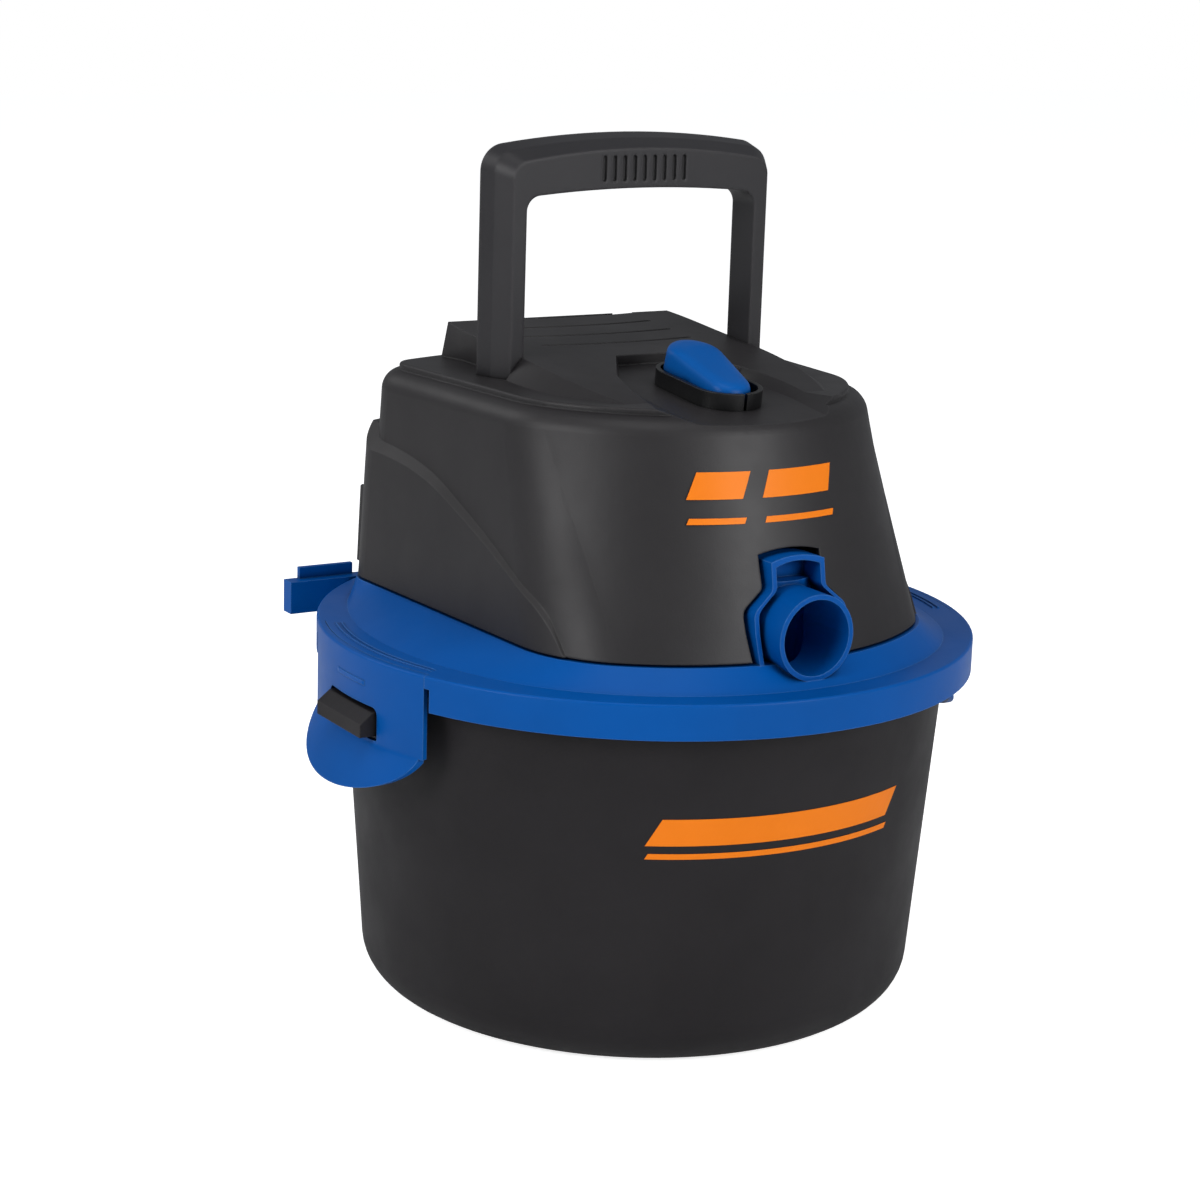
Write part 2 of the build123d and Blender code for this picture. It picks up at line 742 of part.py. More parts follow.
switch_plane = Plane(
    origin=(0, switch_y, basin_floor(switch_y)),
    x_dir=(1, 0, 0),
    z_dir=(0, -basin_slope, 1),
)
side_plane = Plane(origin=switch_plane.origin, x_dir=switch_plane.y_dir, z_dir=(1, 0, 0))
handle_screw_ys = (handle_front_y + handle_screw_inset, handle_front_y + handle_depth - handle_screw_inset)
handle_screw_x = handle_inner_half + handle_leg_width / 2 + 1

def louvre_ribs():
    """Upright ribs of the exhaust louvre, a little proud of the rear wall."""
    low = housing_z + louvre_lift - louvre_margin
    high = low + louvre_height + 2 * louvre_margin
    with BuildPart() as ribs:
        add(housing_block(low, high, panel_proud + louvre_proud, -panel_edge))
        with BuildSketch(Plane.XZ.offset(-louvre_front_y)):
            with Locations((0, low + louvre_height / 2 + louvre_margin)):
                with GridLocations(louvre_pitch, 1, louvre_count + 1, 1):
                    Rectangle(louvre_rib, louvre_height + 2 * louvre_margin)
        extrude(amount=-housing_rear_y, mode=Mode.INTERSECT)
    return ribs.part


def basin():
    """Space over the sunken floor round the switch: steep behind it, its sides easing out to the front."""
    with BuildPart() as space:
        for lift, widths in ((0, basin_floor_widths), (basin_height, basin_top_widths)):
            points = [(width, y - switch_y) for y, width in zip(basin_stations, widths)]
            with BuildSketch(switch_plane.offset(lift)):
                with BuildLine():
                    Polyline(*points, *[(-x, v) for x, v in reversed(points)], close=True)
                make_face()
        loft(ruled=True)
    return space.part


def hood_pocket():
    """Hollow in the hood behind the basin, between the handle's feet."""
    front = basin_stations[0] + hood_pocket_front
    rear = hood_rear_y - housing_wall
    with BuildPart() as pocket:
        add(hood_body(housing_wall))
        with BuildSketch(Plane.XY.offset(ceiling_z - 5)):
            with Locations((0, (front + rear) / 2)):
                Rectangle(2 * (handle_inner_half - housing_wall - 1), rear - front)
        extrude(amount=above, mode=Mode.INTERSECT)
    return pocket.part


with BuildPart() as motor_housing:
    add(housing_block(housing_z, shoulder_z))
    fillet(edges().group_by(Axis.Z)[-1], shoulder_round)
    add(side_panels(0))
    # low cap on the shoulder, and the hood on the cap
    with BuildSketch(Plane.XY.offset(shoulder_z - cap_root)):
        housing_outline(shoulder_z, 0, cap_inset)
    extrude(amount=cap_height + cap_root)
    fillet(edges().group_by(Axis.Z)[-1], edge_round)
    add(inside_cap(hood_body(0)))
    # upright ribs of the exhaust louvre, round the rear
    add(louvre_ribs())
    # basin round the switch, open to the front
    add(basin(), mode=Mode.SUBTRACT)
    # flat boss for the cord gland
    with BuildSketch(Plane.XZ.offset(-gland_face_y)):
        with Locations((0, gland_z)):
            Circle(gland_boss_radius)
    extrude(amount=gland_boss_radius)
    # curved grooves across the rear of the hood
    for i in range(groove_count):
        y = groove_front_y + i * groove_pitch
        with BuildLine(mode=Mode.PRIVATE) as groove_line:
            end_y = y + groove_sag
            ThreePointArc((-groove_half_length, end_y), (0, y), (groove_half_length, end_y))
        with BuildSketch(Plane.XY.offset(hood_top(y) - groove_depth)):
            SlotArc(groove_line.edges()[0], groove_width)
        extrude(amount=hood_rear_height, mode=Mode.SUBTRACT)
    # hollow inside
    add(housing_block(housing_z - shaft_fit, ceiling_z, 0, housing_wall), mode=Mode.SUBTRACT)
    add(side_panels(housing_wall), mode=Mode.SUBTRACT)
    add(hood_pocket(), mode=Mode.SUBTRACT)
    # keyhole in the front wall, clear of the inlet shroud
    with BuildSketch(Plane.XZ.offset(shroud_root - above / 2)):
        shroud_outline(shroud_gap)
    extrude(amount=above, mode=Mode.SUBTRACT)
    # louvre slots, cut through the rear wall
    with BuildSketch(Plane.XZ.offset(-housing_rear_y + louvre_sill)):
        with Locations((0, housing_z + louvre_lift + louvre_height / 2)):
            with GridLocations(louvre_pitch, 1, louvre_count, 1):
                Rectangle(louvre_slot, louvre_height)
    extrude(amount=-above, mode=Mode.SUBTRACT)
    # hole for the cord gland
    with BuildSketch(Plane.XZ.offset(-gland_face_y)):
        with Locations((0, gland_z)):
            Circle(gland_radius + pin_fit)
    extrude(amount=2 * gland_boss_radius, mode=Mode.SUBTRACT)
    # seats for the handle's legs
    add(legs(seat_gap), mode=Mode.SUBTRACT)
    # screw posts from the ceiling down to the deck
    with BuildSketch(Plane.XY.offset(deck_z)):
        with Locations(*boss_places):
            Circle(boss_radius)
    extrude(amount=ceiling_z - deck_z + housing_wall / 2)
    with BuildSketch(Plane.XY.offset(deck_z)):
        with Locations(*boss_places):
            Circle(screw_radius + pin_fit)
    extrude(amount=screw_bite + 2, mode=Mode.SUBTRACT)
    # hole for the switch body, and for the handle's screws
    with BuildSketch(switch_plane.offset(-switch_hole_depth)):
        Rectangle(2 * (switch_radius - switch_hole_margin), switch_body_length + 1)
    extrude(amount=switch_hole_depth + basin_depth, mode=Mode.SUBTRACT)
    with BuildSketch(Plane.XY.offset(ceiling_z - ceiling_thickness)):
        for side in (-1, 1):
            with Locations(*[(side * handle_screw_x, y) for y in handle_screw_ys]):
                Circle(handle_screw_radius + pin_fit)
    extrude(amount=hood_rear_height + ceiling_thickness, mode=Mode.SUBTRACT)
motor_housing.part.label = "motor_housing"



# ================================================================ handle
def handle_outline(half, top, corner):
    """Outer outline of the bow in the XZ plane, down to its feet."""
    side_top = top - handle_crown
    with BuildLine() as outline:
        Line((-half, cap_z), (-half, side_top))
        ThreePointArc((-half, side_top), (0, top), (half, side_top))
        Line((half, side_top), (half, cap_z))
        Line((half, cap_z), (-half, cap_z))
    make_face(outline.edges())
    fillet(vertices().group_by(Axis.Y)[-1], corner)


front_half = handle_inner_half + handle_leg_width
inner_top_z = handle_top_z - handle_bevel - grip_height
with BuildPart() as handle:
    # bevelled bow: narrow in front, spreading over a ridge to the back face
    with BuildSketch(Plane.XZ.offset(-handle_front_y)):
        handle_outline(front_half, handle_top_z - handle_bevel, handle_front_corner)
    with BuildSketch(Plane.XZ.offset(-handle_front_y - handle_depth / 2)):
        handle_outline(front_half + handle_ridge, handle_top_z - handle_bevel / 3, handle_ridge_corner)
    with BuildSketch(Plane.XZ.offset(-handle_front_y - handle_depth)):
        handle_outline(front_half + handle_flare, handle_top_z, handle_corner)
    loft(ruled=True)
    with BuildSketch(Plane.XZ.offset(-handle_front_y + 1)):
        with BuildLine():
            Line((-handle_inner_half, cap_z), (-handle_inner_half, inner_top_z - handle_crown / 2))
            ThreePointArc(
                (-handle_inner_half, inner_top_z - handle_crown / 2),
                (0, inner_top_z),
                (handle_inner_half, inner_top_z - handle_crown / 2),
            )
            Line((handle_inner_half, inner_top_z - handle_crown / 2), (handle_inner_half, cap_z))
            Line((handle_inner_half, cap_z), (-handle_inner_half, cap_z))
        make_face()
        fillet(vertices().group_by(Axis.Y)[-1], handle_inner_corner)
    extrude(amount=-handle_depth - 2, mode=Mode.SUBTRACT)
    # grip grooves in the front face
    with BuildSketch(Plane.XZ.offset(-handle_front_y)):
        with Locations((0, inner_top_z + grip_height / 2)):
            with GridLocations(grip_groove_pitch, 1, grip_groove_count, 1):
                SlotOverall(grip_groove_length, grip_groove_width, rotation=90)
    extrude(amount=-grip_groove_depth, mode=Mode.SUBTRACT)
    # pilot holes in the feet
    with BuildSketch(Plane.XY.offset(cap_z)):
        for side in (-1, 1):
            with Locations(*[(side * handle_screw_x, y) for y in handle_screw_ys]):
                Circle(handle_screw_radius + pin_fit)
    extrude(amount=screw_bite, mode=Mode.SUBTRACT)
handle.part.label = "handle"


def screw(radius, head_radius, head_height, length):
    """Hexagon-head screw standing on its head, the head's seat at z = 0."""
    with BuildPart() as one:
        with BuildSketch(Plane.XY.offset(-head_height)):
            RegularPolygon(head_radius, 6)
        extrude(amount=head_height)
        with BuildSketch(Plane.XY):
            Circle(radius)
        extrude(amount=length)
    return one.part


with BuildPart() as handle_screws:
    for side in (-1, 1):
        with Locations(*[(side * handle_screw_x, y, ceiling_z) for y in handle_screw_ys]):
            add(screw(handle_screw_radius, handle_screw_head, handle_screw_head_height,
                      cap_z - ceiling_z + screw_bite - 1))
handle_screws.part.label = "handle_screws"

with BuildPart() as housing_screws:
    with Locations(*[(x, y, deck_under_z) for x, y in boss_places]):
        add(screw(screw_radius, screw_head_radius, screw_head_height, lid_wall + screw_bite))
housing_screws.part.label = "housing_screws"

# ================================================================ switch
with BuildPart() as switch_bezel:
    with BuildSketch(switch_plane):
        SlotCenterToCenter(switch_straight, 2 * switch_radius, rotation=90)
    extrude(amount=bezel_height)
    with BuildSketch(switch_plane):
        SlotCenterToCenter(switch_straight, 2 * (switch_radius - bezel_wall), rotation=90)
    extrude(amount=bezel_height, mode=Mode.SUBTRACT)
    # slit in its front
    with BuildSketch(switch_plane):
        with Locations((0, -switch_straight / 2 - switch_radius)):
            Rectangle(bezel_slit, 3 * bezel_wall)
    extrude(amount=bezel_height, mode=Mode.SUBTRACT)
    # sockets for the rocker's pin
    with BuildSketch(side_plane):
        with Locations((0, rocker_pin_lift)):
            Circle(rocker_pin_radius + pin_fit / 2)
    extrude(amount=switch_radius - bezel_wall / 2, both=True, mode=Mode.SUBTRACT)
switch_bezel.part.label = "switch_bezel"

rocker_radius = switch_radius - bezel_wall - running_gap
rocker_front_radius = rocker_radius - rocker_front_less
rocker_rear_v = switch_straight / 2     # centres of its rear and front rounds, measured up the slope
rocker_front_v = -switch_straight / 2 - rocker_front_reach


def egg(rear_v, rear_radius, front_v, front_radius):
    """Egg-shaped outline: large circle at the rear, smaller one in front, joined by tangents."""
    with Locations((0, rear_v)):
        Circle(rear_radius)
    with Locations((0, front_v)):
        Circle(front_radius)
    make_hull()


rim_plane = switch_plane.offset(bezel_height - 1)
crown_plane = Plane(
    origin=rim_plane.origin + rim_plane.y_dir * (rocker_front_v - rocker_front_radius),
    x_dir=(1, 0, 0),
    z_dir=rim_plane.z_dir.rotate(Axis.X, rocker_slope),
)
crown_shift = rocker_front_radius - rocker_front_v
with BuildPart() as switch_rocker:
    # upright sides, and a top that rises to the rear with a rounded edge
    with BuildSketch(switch_plane.offset(rocker_low)):
        egg(rocker_rear_v, rocker_radius, rocker_front_v, rocker_front_radius)
    for lift, inset in rocker_crown:
        with BuildSketch(crown_plane.offset(lift)):
            egg(rocker_rear_v + crown_shift - inset, rocker_radius - inset,
                rocker_front_v + crown_shift, rocker_front_radius - inset)
    loft(ruled=True)
    with BuildSketch(side_plane):
        with Locations((0, rocker_pin_lift)):
            Circle(rocker_pin_radius + pin_fit)
        # the rear underside is cut back, so that the rocker can tip
        relief_end = rocker_rear_v + rocker_radius + 1
        relief_rise = (relief_end - rocker_relief_start) * tan(radians(rocker_relief))
        with BuildLine():
            Polyline(
                (rocker_relief_start, rocker_low),
                (relief_end, rocker_low),
                (relief_end, rocker_low + relief_rise),
                close=True,
            )
        make_face()
    extrude(amount=2 * switch_radius, both=True, mode=Mode.SUBTRACT)
switch_rocker.part.label = "switch_rocker"

with BuildPart() as rocker_pin:
    with BuildSketch(side_plane):
        with Locations((0, rocker_pin_lift)):
            Circle(rocker_pin_radius)
    extrude(amount=switch_radius - bezel_wall / 2, both=True)
rocker_pin.part.label = "rocker_pin"

with BuildPart() as switch_body:
    with BuildSketch(switch_plane):
        SlotCenterToCenter(switch_straight, 2 * switch_flange_radius, rotation=90)
    extrude(amount=switch_flange_thickness)
    with BuildSketch(switch_plane):
        Rectangle(switch_body_width, switch_body_length)
    extrude(amount=-switch_body_depth)
    with BuildSketch(switch_plane.offset(-switch_body_depth)):
        with GridLocations(1, switch_tab_pitch, 1, switch_tab_count):
            Rectangle(switch_tab_width, switch_tab_thickness)
    extrude(amount=-switch_tab_length)
switch_body.part.label = "switch_body"

# ================================================================ motor and suction fan
fan_low_z = deck_z + motor_post_height
fan_high_z = fan_low_z + fan_case_height
impeller_low_z = fan_low_z + fan_case_wall + impeller_gap
impeller_high_z = fan_high_z - impeller_headroom
lower_bearing_z = fan_high_z + frame_thickness
stator_low_z = fan_high_z + pillar_height
stator_high_z = stator_low_z + stator_height
commutator_z = stator_high_z + coil_overhang + end_gap
upper_frame_z = commutator_z + commutator_height
upper_bearing_z = upper_frame_z + 1
cooling_fan_z = upper_bearing_z + bearing_width + cooling_fan_gap
pillar_places = [(x, y) for x in (-pillar_x, pillar_x) for y in (-pillar_y, pillar_y)]

with BuildPart() as motor_gasket:
    with BuildSketch(Plane.XY.offset(deck_z)):
        Circle(gasket_outer_radius)
        Circle(gasket_inner_radius, mode=Mode.SUBTRACT)
    extrude(amount=motor_post_height)
motor_gasket.part.label = "motor_gasket"

with BuildPart() as fan_case:
    with BuildSketch(Plane.XY.offset(fan_low_z)):
        Circle(fan_case_radius)
    extrude(amount=fan_case_height)
    # ears that rest on the lid's posts
    with BuildSketch(Plane.XY.offset(fan_low_z)):
        with PolarLocations(motor_post_circle, 4, posts_turn):
            Circle(post_radius + end_gap)
        with PolarLocations(motor_post_circle - post_radius, 4, posts_turn):
            Rectangle(2 * post_radius, 2 * (post_radius + end_gap))
    extrude(amount=frame_thickness)
    with BuildSketch(Plane.XY.offset(fan_low_z + fan_case_wall)):
        Circle(fan_case_radius - fan_case_wall)
    extrude(amount=fan_case_height, mode=Mode.SUBTRACT)
    with BuildSketch(Plane.XY.offset(fan_low_z)):
        Circle(fan_eye_radius)
        with PolarLocations(motor_post_circle, 4, posts_turn):
            Circle(screw_hole_radius)
    extrude(amount=frame_thickness, mode=Mode.SUBTRACT)
fan_case.part.label = "fan_case"

with BuildPart() as impeller:
    with BuildSketch(Plane.XY.offset(impeller_high_z - impeller_disc)):
        Circle(impeller_radius)
    extrude(amount=impeller_disc)
    with BuildSketch(Plane.XY.offset(impeller_low_z)):
        Circle(impeller_radius)
        Circle(fan_eye_radius - 1, mode=Mode.SUBTRACT)
    extrude(amount=impeller_disc)
    with BuildSketch(Plane.XY.offset(impeller_low_z)):
        Circle(impeller_hub_radius)
    extrude(amount=impeller_high_z - impeller_low_z)
    # swept-back blades between the two discs
    with BuildLine(mode=Mode.PRIVATE) as blade_line:
        ThreePointArc((fan_eye_radius + 1, 0), blade_middle, (impeller_radius - coil_edge, blade_end))
    with BuildSketch(Plane.XY.offset(impeller_low_z + impeller_disc / 2)):
        with PolarLocations(0, impeller_blades):
            SlotArc(blade_line.edges()[0], blade_thickness)
    extrude(amount=impeller_high_z - impeller_low_z - impeller_disc)
    with BuildSketch(Plane.XY.offset(impeller_low_z)):
        Circle(shaft_radius + shaft_fit)
    extrude(amount=impeller_high_z - impeller_low_z, mode=Mode.SUBTRACT)
impeller.part.label = "impeller"

with BuildPart() as motor_frame_lower:
    with BuildSketch(Plane.XY.offset(fan_high_z)):
        Circle(fan_case_radius)
        with PolarLocations(frame_hole_circle, 6):
            RegularPolygon(frame_hole_radius, 6, mode=Mode.SUBTRACT)
    extrude(amount=frame_thickness)
    # lip inside the fan case
    with BuildSketch(Plane.XY.offset(fan_high_z)):
        Circle(fan_case_radius - fan_case_wall - pin_fit)
        Circle(fan_case_radius - 2 * fan_case_wall, mode=Mode.SUBTRACT)
    extrude(amount=-frame_thickness)
    with BuildSketch(Plane.XY.offset(fan_high_z)):
        Circle(bearing_boss_radius)
    extrude(amount=frame_thickness + bearing_width - 1)
    with BuildSketch(Plane.XY.offset(fan_high_z)):
        with Locations(*pillar_places):
            Circle(pillar_radius)
    extrude(amount=pillar_height)
    with BuildSketch(Plane.XY.offset(lower_bearing_z - 1)):
        Circle(bearing_radius + shaft_fit)
    extrude(amount=bearing_width + frame_thickness, mode=Mode.SUBTRACT)
    with BuildSketch(Plane.XY.offset(fan_high_z)):
        Circle(shaft_radius + 1)
    extrude(amount=frame_thickness, mode=Mode.SUBTRACT)
    with BuildSketch(Plane.XY.offset(fan_high_z)):
        with Locations(*pillar_places):
            Circle(frame_screw_radius + pin_fit)
    extrude(amount=pillar_height, mode=Mode.SUBTRACT)
motor_frame_lower.part.label = "motor_frame_lower"


def bearing(low_z):
    """Ball bearing as a plain ring."""
    with BuildPart() as ring:
        with BuildSketch(Plane.XY.offset(low_z)):
            Circle(bearing_radius)
            Circle(shaft_radius + pin_fit, mode=Mode.SUBTRACT)
        extrude(amount=bearing_width)
    return ring.part


with BuildPart() as bearings:
    add(bearing(lower_bearing_z - 1))
    add(bearing(upper_bearing_z))
bearings.part.label = "bearings"

with BuildPart() as stator:
    with BuildSketch(Plane.XY.offset(stator_low_z)):
        Circle(stator_radius)
        Rectangle(2 * stator_half_width, 2 * stator_radius, mode=Mode.INTERSECT)
        # winding windows either side of the two poles
        with Locations((-stator_window_x, 0), (stator_window_x, 0)):
            Rectangle(stator_window_width, stator_window_height, mode=Mode.SUBTRACT)
        Circle(stator_bore, mode=Mode.SUBTRACT)
        with Locations(*pillar_places):
            Circle(frame_screw_radius + pin_fit, mode=Mode.SUBTRACT)
    extrude(amount=stator_height)
stator.part.label = "stator"

with BuildPart() as field_coils:
    for z in (stator_low_z - coil_overhang, stator_high_z):
        with BuildSketch(Plane.XY.offset(z)):
            Circle(stator_radius - coil_edge)
            Circle(stator_bore + coil_inner_gap, mode=Mode.SUBTRACT)
            reach = 2 * stator_radius
            slope = cos(radians(coil_half_angle)) / sin(radians(coil_half_angle))
            with BuildLine():
                Polyline((0, 0), (reach, reach * slope), (reach, -reach * slope), close=True)
            make_face(mode=Mode.SUBTRACT)
            with BuildLine():
                Polyline((0, 0), (-reach, reach * slope), (-reach, -reach * slope), close=True)
            make_face(mode=Mode.SUBTRACT)
        extrude(amount=coil_overhang)
    # legs that run through the stator's windows
    with BuildSketch(Plane.XY.offset(stator_low_z - coil_overhang)):
        with GridLocations(2 * coil_leg_x, 2 * coil_leg_y, 2, 2):
            Rectangle(coil_leg_width, coil_leg_length)
    extrude(amount=stator_height + 2 * coil_overhang)
field_coils.part.label = "field_coils"

with BuildPart() as armature:
    with BuildSketch(Plane.XY.offset(stator_low_z)):
        Circle(armature_radius)
        with PolarLocations(armature_radius - armature_slot_inset, armature_slots):
            Rectangle(armature_slot_depth, armature_slot_width, mode=Mode.SUBTRACT)
        Circle(shaft_radius + shaft_fit, mode=Mode.SUBTRACT)
    extrude(amount=stator_height)
    # winding heads above and below the plates
    for z in (stator_low_z - coil_overhang + 1, stator_high_z):
        with BuildSketch(Plane.XY.offset(z)):
            Circle(armature_radius - winding_inset)
            Circle(shaft_radius + shaft_fit, mode=Mode.SUBTRACT)
        extrude(amount=coil_overhang - 1)
armature.part.label = "armature"

with BuildPart() as commutator:
    with BuildSketch(Plane.XY.offset(commutator_z)):
        Circle(commutator_radius)
        with PolarLocations(commutator_radius, 2 * armature_slots):
            Rectangle(commutator_slit_depth, commutator_slit, mode=Mode.SUBTRACT)
        Circle(shaft_radius + shaft_fit, mode=Mode.SUBTRACT)
    extrude(amount=commutator_height)
commutator.part.label = "commutator"

with BuildPart() as motor_frame_upper:
    with BuildSketch(Plane.XY.offset(upper_frame_z)):
        Rectangle(2 * (pillar_x + pillar_radius), 2 * (pillar_y + pillar_radius))
        Rectangle(brush_width + 6, 2 * brush_reach)
        Circle(bearing_boss_radius)
    extrude(amount=frame_thickness)
    with BuildSketch(Plane.XY.offset(upper_frame_z)):
        Circle(bearing_boss_radius)
    extrude(amount=bearing_width + end_gap)
    with BuildSketch(Plane.XY.offset(upper_frame_z)):
        with Locations(*pillar_places):
            Circle(pillar_radius)
    extrude(amount=stator_high_z - upper_frame_z)
    with BuildSketch(Plane.XY.offset(upper_bearing_z)):
        Circle(bearing_radius + shaft_fit)
    extrude(amount=bearing_width, mode=Mode.SUBTRACT)
    with BuildSketch(Plane.XY.offset(upper_frame_z)):
        Circle(shaft_radius + 1)
    extrude(amount=frame_thickness, mode=Mode.SUBTRACT)
    with BuildSketch(Plane.XY.offset(stator_high_z)):
        with Locations(*pillar_places):
            Circle(frame_screw_radius + pin_fit)
    extrude(amount=upper_frame_z + frame_thickness - stator_high_z, mode=Mode.SUBTRACT)
motor_frame_upper.part.label = "motor_frame_upper"

with BuildPart() as brush_holders:
    with BuildSketch(Plane.XZ.offset(-commutator_radius - 2)):
        with Locations((0, commutator_z + commutator_height / 2)):
            Rectangle(brush_width + 3, commutator_height)
            Rectangle(brush_width + 2 * pin_fit, commutator_height - 2, mode=Mode.SUBTRACT)
    extrude(amount=-brush_reach + commutator_radius + 2)
    mirror(about=Plane.XZ)
brush_holders.part.label = "brush_holders"

with BuildPart() as brushes:
    with BuildSketch(Plane.XZ.offset(-commutator_radius - pin_fit)):
        with Locations((0, commutator_z + commutator_height / 2)):
            Rectangle(brush_width, commutator_height - 2 - 2 * pin_fit)
    extrude(amount=-brush_length)
    mirror(about=Plane.XZ)
brushes.part.label = "brushes"

with BuildPart() as cooling_fan:
    with BuildSketch(Plane.XY.offset(cooling_fan_z)):
        Circle(cooling_fan_radius)
    extrude(amount=1)
    with BuildSketch(Plane.XY.offset(cooling_fan_z)):
        Circle(impeller_hub_radius)
        with PolarLocations((cooling_fan_radius + impeller_hub_radius) / 2, cooling_fan_blades):
            Rectangle(cooling_fan_radius - impeller_hub_radius + 1, 1)
    extrude(amount=cooling_fan_height)
    with BuildSketch(Plane.XY.offset(cooling_fan_z)):
        Circle(shaft_radius + shaft_fit)
    extrude(amount=cooling_fan_height, mode=Mode.SUBTRACT)
cooling_fan.part.label = "cooling_fan"

shaft_low_z = impeller_low_z - end_gap
with BuildPart() as motor_shaft:
    with BuildSketch(Plane.XY.offset(shaft_low_z)):
        Circle(shaft_radius)
    extrude(amount=cooling_fan_z + cooling_fan_height + end_gap - shaft_low_z)
motor_shaft.part.label = "motor_shaft"

with BuildPart() as frame_screws:
    top = upper_frame_z + frame_thickness
    with Locations(*[Location((x, y, top), (180, 0, 0)) for x, y in pillar_places]):
        add(screw(frame_screw_radius, frame_screw_head, frame_screw_head_height,
                  top - fan_high_z - frame_thickness))
frame_screws.part.label = "frame_screws"

with BuildPart() as motor_screws:
    top = fan_low_z + frame_thickness
    reach = motor_post_circle * cos(radians(posts_turn))
    with Locations(*[Location((x, y, top), (180, 0, 0)) for x in (-reach, reach) for y in (-reach, reach)]):
        add(screw(screw_radius, screw_head_radius, screw_head_height, frame_thickness + post_bite))
motor_screws.part.label = "motor_screws"

# ================================================================ filter cage, foam sleeve and float
flange_z = deck_under_z - cage_post_height - cage_flange
with BuildPart() as filter_cage:
    with BuildSketch(Plane.XY.offset(cage_low_z)):
        Circle(cage_radius)
        Circle(cage_radius - cage_wall, mode=Mode.SUBTRACT)
    extrude(amount=deck_under_z - cage_low_z)
    with BuildSketch(Plane.XY.offset(flange_z)):
        Circle(cage_radius + foam_thickness)
        with PolarLocations(cage_post_circle, 3, 90):
            Circle(post_radius)
        with PolarLocations(cage_post_circle - post_radius, 3, 90):
            Rectangle(2 * post_radius, 2 * post_radius)
        Circle(cage_radius - cage_wall, mode=Mode.SUBTRACT)
        with PolarLocations(cage_post_circle, 3, 90):
            Circle(screw_hole_radius, mode=Mode.SUBTRACT)
    extrude(amount=cage_flange)
    # upright bars between two rows of windows
    bar_angle = 360 / cage_bars
    opening = 2 * cage_radius * sin(radians(bar_angle / 2)) - cage_bar_width
    tier = (flange_z - cage_low_z - cage_floor - 3 * cage_bar_width) / 2
    for lift in (0, tier + cage_bar_width):
        with BuildSketch(Plane.XY.offset(cage_low_z + cage_floor + cage_bar_width + lift)):
            with PolarLocations(cage_radius, cage_bars):
                Rectangle(4 * cage_wall, opening)
        extrude(amount=tier, mode=Mode.SUBTRACT)
    with BuildSketch(Plane.XY.offset(cage_low_z)):
        Circle(cage_radius)
    extrude(amount=cage_floor)
    # guides for the float
    with BuildSketch(Plane.XY.offset(cage_low_z)):
        with PolarLocations((cage_radius + cage_guide_radius) / 2 - cage_wall / 4, 4):
            Rectangle(cage_radius - cage_guide_radius - cage_wall / 2, cage_wall)
    extrude(amount=flange_z - cage_low_z)
filter_cage.part.label = "filter_cage"

with BuildPart() as cage_screws:
    with PolarLocations(cage_post_circle, 3, 90):
        add(Location((0, 0, flange_z)) * screw(screw_radius, screw_head_radius, screw_head_height,
                                               cage_flange + post_bite - end_gap))
cage_screws.part.label = "cage_screws"

with BuildPart() as foam_sleeve:
    with BuildSketch(Plane.XY.offset(cage_low_z + 1)):
        Circle(cage_radius + foam_thickness)
        Circle(cage_radius + seat_gap, mode=Mode.SUBTRACT)
    extrude(amount=flange_z - cage_low_z - 1 - seat_gap)
foam_sleeve.part.label = "foam_sleeve"

with BuildPart() as float_cup:
    with BuildSketch(Plane.XY.offset(cage_low_z + cage_floor + seat_gap)):
        Circle(float_radius)
    extrude(amount=float_height)
    with BuildSketch(Plane.XY.offset(cage_low_z + cage_floor + seat_gap)):
        Circle(float_radius - cage_wall)
    extrude(amount=float_height - cage_wall, mode=Mode.SUBTRACT)
float_cup.part.label = "float_cup"

# ================================================================ cord gland
with BuildPart() as cord_gland:
    with BuildSketch(Plane.XZ.offset(-gland_face_y)):
        with Locations((0, gland_z)):
            Circle(gland_flange_radius)
    extrude(amount=-2)
    with BuildSketch(Plane.XZ.offset(-gland_face_y)):
        with Locations((0, gland_z)):
            Circle(gland_radius)
    extrude(amount=gland_boss_radius)
    with BuildSketch(Plane.XZ.offset(-gland_face_y - 2)):
        with Locations((0, gland_z)):
            Circle(gland_bore_radius)
    extrude(amount=gland_boss_radius + 2, mode=Mode.SUBTRACT)
cord_gland.part.label = "cord_gland"

# ================================================================ files
pieces = [
    tank, lid_gasket, lid, latch_left, latch_right, motor_housing, housing_screws, handle, handle_screws,
    switch_bezel, switch_body, switch_rocker, rocker_pin, cord_gland, motor_gasket, fan_case, motor_screws,
    impeller, motor_frame_lower, bearings, stator, field_coils, armature, commutator, motor_frame_upper,
    brush_holders, brushes, frame_screws, cooling_fan, motor_shaft, filter_cage, cage_screws, foam_sleeve,
    float_cup,
]
os.makedirs("parts", exist_ok=True)
for piece in pieces:
    export_step(piece.part, "parts/" + piece.part.label + ".step")
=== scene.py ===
# %% [markdown]
# # Small shop vacuum
# A tapered plastic tank carries a round lid, and on the lid sits a motor housing with a rocker switch and an
# upright handle. The solid model comes in as a fixed frame. This lesson gives it its plastics, metals and
# painted marks, and then a camera, a floor and soft lamps.

# %% Load the frame
from math import cos, pi, radians, sin

import bmesh
import bpy
from mathutils import Matrix, Vector


